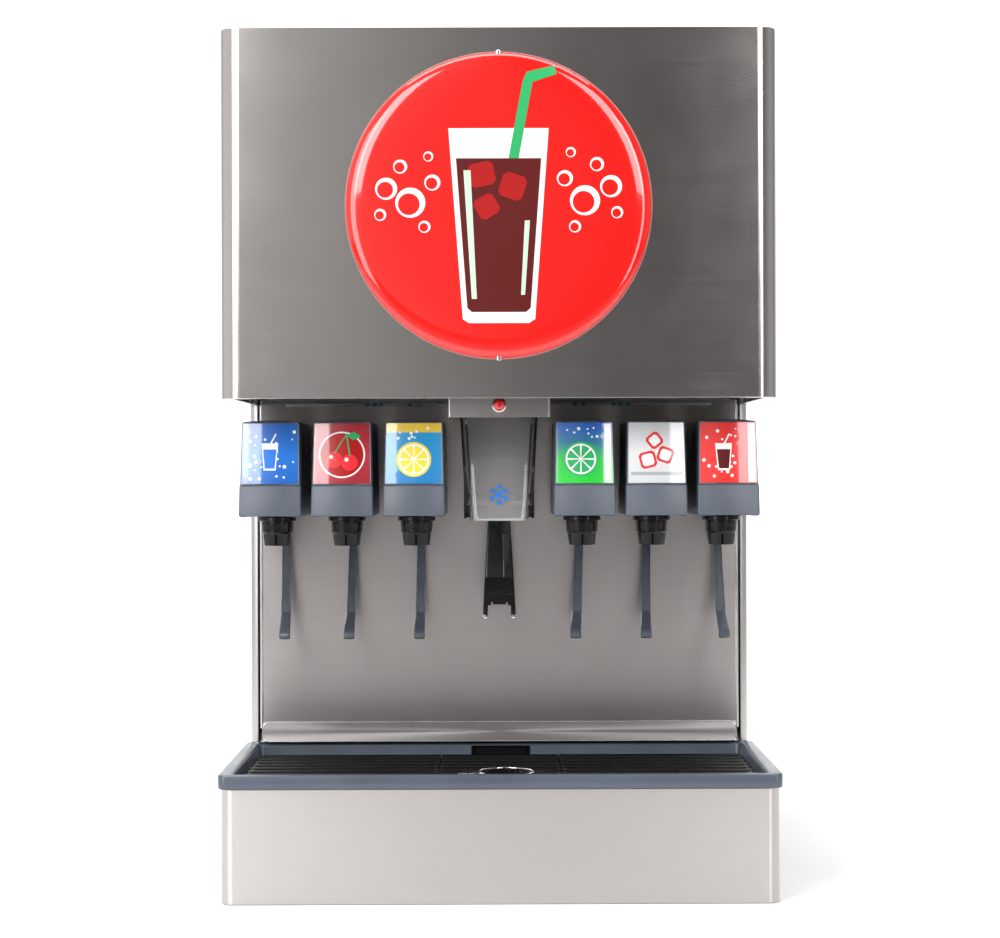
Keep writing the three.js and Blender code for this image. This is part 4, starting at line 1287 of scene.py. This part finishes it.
# ------------------------------------------------------------------ drip tray and cup rests
def tray():
    """A moulded tray: rolled rim, stepped ledge for the rests and a basin that falls to its drain."""
    def ring(inset_x, front, rear, radius, z):
        return at_height(rounded_rect(-TRAY_HALF + inset_x, TRAY_HALF - inset_x, front, rear, radius, 8), z)

    f = TRAY_FRONT
    r = TRAY_REAR
    rings = [
        ring(15, f + 15, -144, 6, 90.2), ring(13.4, f + 13.4, -143.4, 7, 92), ring(13, f + 13, -143, 7, 114.6), ring(1.2, f + 1.2, r - 0.6, 7, 114.9),
        ring(0.2, f + 0.2, r - 0.1, 8, 115.9), ring(0, f, r, 8, 117), ring(0, f, r, 8, TRAY_TOP - 1.9), ring(0.6, f + 0.6, r - 0.2, 8, TRAY_TOP - 0.6),
        ring(2.0, f + 2.0, r - 0.8, 7.5, TRAY_TOP), ring(12.5, f + 12.5, -144.5, 6.5, TRAY_TOP - 1.2), ring(14.6, f + 14.6, -145.4, 6, TRAY_TOP - 2.6),
        ring(15.5, f + 15.5, -146, 5.5, TRAY_TOP - 5), ring(16, f + 16, -146.4, 5, 111), ring(16.8, f + 16.8, -147, 5, 109.7),
        ring(21, f + 21, -157.6, 5, 109.7), ring(21.8, f + 21.8, -158.4, 5, 109), ring(22.6, f + 22.6, -159, 5, 96), ring(26, f + 26, -162, 6, 93.4),
    ]
    body = loft("tray_body", rings, (True, True), 38)
    gutter = slab("gutter", rounded_rect(-31.5, 31.5, -338, -170, 6, 6), 84, 95, 0.5)
    recess_points = [(-31.5, TRAY_TOP - 3.6), (34, TRAY_TOP - 3.6), (34, 96), (-31.5, 96)]
    recess = slab("recess", rounded_rect(-31.5, 34, -170, -138.5, 3, 4), 96, TRAY_TOP - 3.4, 0.5)
    del recess_points
    pan = slab("sump", rounded_rect(-34.5, 34.5, -341, -139, 8, 6), 80, 95.5, 1.0)
    well = slab("sump_well", rounded_rect(-31.8, 31.8, -338.3, -150, 6, 6), 83, 99, 0.5)
    carve(pan, well)
    spout = lathe("spout", [(12, 76.2), (14.3, 76.2), (14.6, 76.8), (14.6, 84), (12, 84), (12, 76.2)], 40, "z", (0, -250, 0))
    carve(body, gutter, recess)
    done = joined("drip_tray_body", [body, pan, spout])
    done.data.shade_smooth()
    done.data.set_sharp_from_angle(angle=math.radians(32))
    place(done, "tray", TRAY, "tray_plastic", "drip_tray")
    # Painted shade: a black lining inside the recess in the rear wall, for its dark interior.
    rear = slab("rear", rounded_rect(-31.2, 33.7, -140.4, -138.7, 0.6, 3), 97, TRAY_TOP - 3.8, 0.4)
    cheeks = [
        slab("cheek", rounded_rect(x, x + 1.6, -146.8, -140.2, 0.6, 3), 97, TRAY_TOP - 3.8, 0.4) for x in (-31.2, 32.1)
    ]
    place(joined("tray_recess_painted_shade", [rear, *cheeks]), "tray", REST, "black_plastic")


tray()


def rest_bar(x0, x1, y, width, top, height=6.0):
    """One bar with a rounded back, along x."""
    half = width / 2
    section = [(-half, top - height), (half, top - height), (half, top - 1.9)]
    section += [(half * math.cos(a), top - 1.9 + 1.9 * math.sin(a)) for a in (math.pi * k / 8 for k in range(1, 8))]
    section += [(-half, top - 1.9)]
    rings = [[(x, y + py, z) for py, z in section] for x in (x0, x1)]
    return loft("bar", rings, sharp=45)


def cup_rest(label, body, node, ring_at=None):
    x0, x1 = span(node, 0)
    y0, y1 = span(node, 1)
    bars = 10
    pitch = (y1 - y0 - 8) / (bars - 1)
    parts = [rest_bar(x0 + 0.3, x1 - 0.3, y0 + 4 + k * pitch, 7.4, REST_TOP) for k in range(bars)]
    for x in (x0 + 2.6, x1 - 2.6):
        parts.append(block("tie", (x - 2.2, y0 + 0.2, REST_TOP - 7.8), (x + 2.2, y1 - 0.2, REST_TOP - 1.4), 0.6))
    grid = joined(f"{label}_bars", parts)
    if ring_at is not None:
        cx, cy, radius = ring_at
        hole = slab("hole", [(cx + a, cy + b) for a, b in arc(0, 0, radius, 0, 360, 48)[:-1]], REST_TOP - 12, REST_TOP + 4, 0.3)
        carve(grid, hole)
        collar = lathe("collar", [(radius, REST_TOP - 6), (radius + 3, REST_TOP - 6), (radius + 3, REST_TOP - 0.8),
                                  (radius + 2.2, REST_TOP), (radius + 0.6, REST_TOP), (radius, REST_TOP - 0.8), (radius, REST_TOP - 6)], 72, "z", (cx, cy, 0))
        grid = joined(f"{label}_bars", [grid, collar])
    grid.data.shade_smooth()
    grid.data.set_sharp_from_angle(angle=math.radians(40))
    place(grid, body, REST, "black_plastic", node)


DUMP = (6, -300, 27)
cup_rest("rest_left", "rest_left", "cup_rest_left")
cup_rest("rest_right", "rest_right", "cup_rest_right")
cup_rest("rest_middle", "rest_middle", "cup_rest_middle", DUMP)


def wire_ring():
    """Bright wire lying round the dump opening, with its two ends turned out to the left."""
    cx, cy, radius = DUMP
    points = []
    for k in range(49):
        angle = math.radians(200 + 320 * k / 48 - 0)
        points.append((cx + (radius + 1.5) * math.cos(angle), cy + (radius + 1.5) * math.sin(angle), REST_TOP + 1.3))
    points = [(cx - radius - 16, cy - 16, REST_TOP + 1.3), (cx - radius - 6, cy - 13, REST_TOP + 1.3), *points]
    place(tube("dump_ring_wire", [tuple(p) for p in points], 1.1, 10), "rest_middle", CHROME, "stainless")
    tag = slab("tag", rounded_rect(cx - radius - 22, cx - radius - 10, cy - 20, cy - 11, 4, 6), REST_TOP + 0.4, REST_TOP + 2.2, 0.5)
    place(tag, "rest_middle", CHROME, "stainless")


wire_ring()

# ------------------------------------------------------------------ CAD pieces that stay, with better materials
KEPT = {
    "base_pan": (STEEL_BASE, 0.6), "chassis_deck": (STEEL_BASE, 0.6), "back_panel": (STEEL_HOOD, 0.3), "power_inlet": (BLACK, 0.8),
    "bin_liner": (WHITE, 1.4), "cold_plate": (ALUMINIUM, 1.2), "electrical_box": (STEEL_BASE, 0.8), "gear_motor": (MOTOR, 1.2),
    "ice_wheel": (WHITE, 0.6), "agitator_shaft": (STEEL_SHAFT, 0.8), "ice_gate": (BLACK, 0.4), "gate_solenoid": (MOTOR, 0.8),
    "gate_plunger": (STEEL_SHAFT, 0.4), "drain_pipe": (WHITE, 0.8), "chute_guard": (GLOSS_BLACK, 0.5),
}
for n in VALVES:
    KEPT[f"valve_body_{n}"] = (BLACK, 0.5)
    KEPT[f"valve_mount_{n}"] = (BLACK, 0.6)
for name, (material, width) in KEPT.items():
    node = frame["nodes"][name]
    soften(node, width)
    node.data.materials.clear()
    node.data.materials.append(material)


# ------------------------------------------------------------------ fasteners and fittings
def pan_screw(name, at, axis, radius=3.6, height=2.2):
    """A domed screw head with a cross recess, facing along axis."""
    profile = [(0, 0), (radius, 0), (radius, 0.5), (radius * 0.86, height * 0.7), (radius * 0.5, height), (0, height)]
    head = lathe(name, profile, 32, "z")
    slots = [block("slot", (-radius * 0.55, -0.35, height * 0.45), (radius * 0.55, 0.35, height + 1), 0.05),
             block("slot", (-0.35, -radius * 0.55, height * 0.45), (0.35, radius * 0.55, height + 1), 0.05)]
    carve(head, *slots)
    turn = Vector((0, 0, 1)).rotation_difference(Vector(axis)).to_matrix().to_4x4()
    head.data.transform(Matrix.Translation(Vector(at) * MM) @ turn)
    return head


panel_y = span("back_panel", 1)[1]
screws = []
for x in (-180, 0, 180):
    for z in (148, 432):
        screws.append(pan_screw("panel_screw", (x, panel_y, z), (0, 1, 0)))
place(joined("back_panel_screws", screws), "chassis", CHROME, "stainless")
side_screws = []
for side in (-1, 1):
    for y in (-20, 180, 360):
        side_screws.append(pan_screw("side_screw", (side * TOWER_HALF, y, 136), (side, 0, 0)))
place(joined("tower_side_screws", side_screws), "chassis", CHROME, "stainless")
hood_screws = [pan_screw("hood_screw", (side * HOOD_HALF, -112, 620), (side, 0, 0)) for side in (-1, 1)]
place(joined("hood_side_screws", hood_screws), "hood", CHROME, "stainless")

pins = []
for k, x in enumerate((-134, -125, -116)):
    pins.append(block("pin", (x - 1, 372, 190 + (5 if k == 1 else 0)), (x + 1, 386, 195 + (5 if k == 1 else 0)), 0.3))
place(joined("inlet_pins", pins), "chassis", BRASS, "stainless")

# ------------------------------------------------------------------ floor, lights and camera
def stage_plane():
    """A pale floor that curves up into a plain backdrop; well in front of the machine its colour falls off to grey,
    painted shade for the dark room that the steel reflects.
    """
    profile = [(-6.0, 0.0), (-1.6, 0.0), (2.4, 0.0)]
    profile += [(2.4 + 1.2 * math.sin(a), 1.2 - 1.2 * math.cos(a)) for a in (math.pi / 2 * k / 16 for k in range(1, 17))]
    profile += [(3.6, 5.0)]
    points = []
    for y, z in profile:
        points += [(-6000, y * 1000, z * 1000 - 0.4), (6000, y * 1000, z * 1000 - 0.4)]
    faces = [(2 * i, 2 * i + 1, 2 * i + 3, 2 * i + 2) for i in range(len(profile) - 1)]
    floor = mesh_piece("studio_floor", points, faces, 60)
    n = Nodes("floor_with_painted_shade")
    axes = n.tree.nodes.new("ShaderNodeSeparateXYZ")
    n.link(n.coordinate, axes.inputs["Vector"])
    nearness = n.tree.nodes.new("ShaderNodeMapRange")
    nearness.inputs["From Min"].default_value = -2.0
    nearness.inputs["From Max"].default_value = -1.0
    n.link(axes.outputs["Y"], nearness.inputs["Value"])
    # Painted shade: the floor colour falls to dark grey in front of the machine, so the steel reflects darkness there.
    greys = [(0.0, 0.16), (0.45, 0.2), (0.7, 0.45), (0.9, 0.84), (1.0, 0.88)]
    painted_shade_fall_off = n.ramp(nearness.outputs["Result"], [(at, (grey, grey, grey)) for at, grey in greys])
    n.link(n.mix(n.span(n.noise(3.0), 0.0, 0.03), painted_shade_fall_off, (0.8, 0.8, 0.8)), n.shader.inputs["Base Color"])
    n.shader.inputs["Roughness"].default_value = 0.8
    floor.data.materials.append(n.material)


stage_plane()


def softbox(name, at, target, width, height, power, color=(1, 1, 1)):
    data = bpy.data.lights.new(name, "AREA")
    data.shape = "RECTANGLE"
    data.size = width
    data.size_y = height
    data.energy = power
    data.color = color
    light = bpy.data.objects.new(name, data)
    bpy.context.scene.collection.objects.link(light)
    light.visible_camera = False
    light.location = at
    light.rotation_euler = (Vector(target) - Vector(at)).to_track_quat("-Z", "Y").to_euler()
    return light


softbox("left_box", (-1.5, -2.1, 1.0), (0, -0.3, 0.5), 0.85, 1.9, 20)
softbox("right_box", (1.4, -2.25, 1.0), (0, -0.3, 0.5), 0.3, 1.9, 9)
softbox("front_left_box", (-1.04, -2.35, 1.76), (-0.1, -0.35, 0.5), 0.75, 1.5, 22)
softbox("front_right_box", (1.1, -2.35, 1.76), (0.1, -0.35, 0.5), 0.75, 1.5, 19)
softbox("top_box", (0, -0.1, 2.7), (0, -0.1, 0.0), 2.6, 2.0, 74)
softbox("back_box", (0, 2.0, 3.2), (0, 3.2, 0.8), 3.5, 1.5, 85)


def studio_world():
    """Even grey surroundings, brighter to the left and at both sides than straight ahead."""
    world = bpy.data.worlds.new("studio")
    bpy.context.scene.world = world
    world.use_nodes = True
    tree = world.node_tree
    background = tree.nodes["Background"]
    coordinate = tree.nodes.new("ShaderNodeTexCoord")
    axes = tree.nodes.new("ShaderNodeSeparateXYZ")
    shift = tree.nodes.new("ShaderNodeMapRange")
    shift.inputs["From Min"].default_value = -1
    shift.inputs["From Max"].default_value = 1
    ramp = tree.nodes.new("ShaderNodeValToRGB")
    tree.links.new(coordinate.outputs["Generated"], axes.inputs["Vector"])
    tree.links.new(axes.outputs["X"], shift.inputs["Value"])
    tree.links.new(shift.outputs["Result"], ramp.inputs["Fac"])
    tree.links.new(ramp.outputs["Color"], background.inputs["Color"])
    stops = [
        (0.0, 0.85), (0.1, 0.8), (0.2, 0.6), (0.4, 0.44), (0.455, 0.4), (0.5, 0.22), (0.54, 0.09),
        (0.62, 0.1), (0.8, 0.12), (0.93, 0.28), (1.0, 0.45),
    ]
    elements = ramp.color_ramp.elements
    while len(elements) < len(stops):
        elements.new(0.5)
    for element, (position, value) in zip(elements, stops):
        element.position = position
        element.color = (value, value, value, 1)
    background.inputs["Strength"].default_value = 1.0


studio_world()
bpy.context.scene.view_settings.view_transform = "Standard"


def photo_camera():
    """Level view from straight ahead, a little over half the machine's height up."""
    data = bpy.data.cameras.new("camera")
    data.sensor_width = 36
    data.sensor_fit = "HORIZONTAL"
    data.lens = 75.58
    data.dof.use_dof = False
    camera = bpy.data.objects.new("camera", data)
    bpy.context.scene.collection.objects.link(camera)
    yaw, pitch, roll = (math.radians(a) for a in (0.184, -0.026, -0.172))
    forward = Vector((math.sin(yaw) * math.cos(pitch), math.cos(yaw) * math.cos(pitch), math.sin(pitch)))
    level = forward.cross(UP).normalized()
    top = level.cross(forward)
    right = level * math.cos(roll) + top * math.sin(roll)
    above = right.cross(forward)
    turn = Matrix((right, above, -forward)).transposed().to_4x4()
    camera.matrix_world = Matrix.Translation((-0.0062, -2.477, 0.4343)) @ turn
    bpy.context.scene.camera = camera


photo_camera()
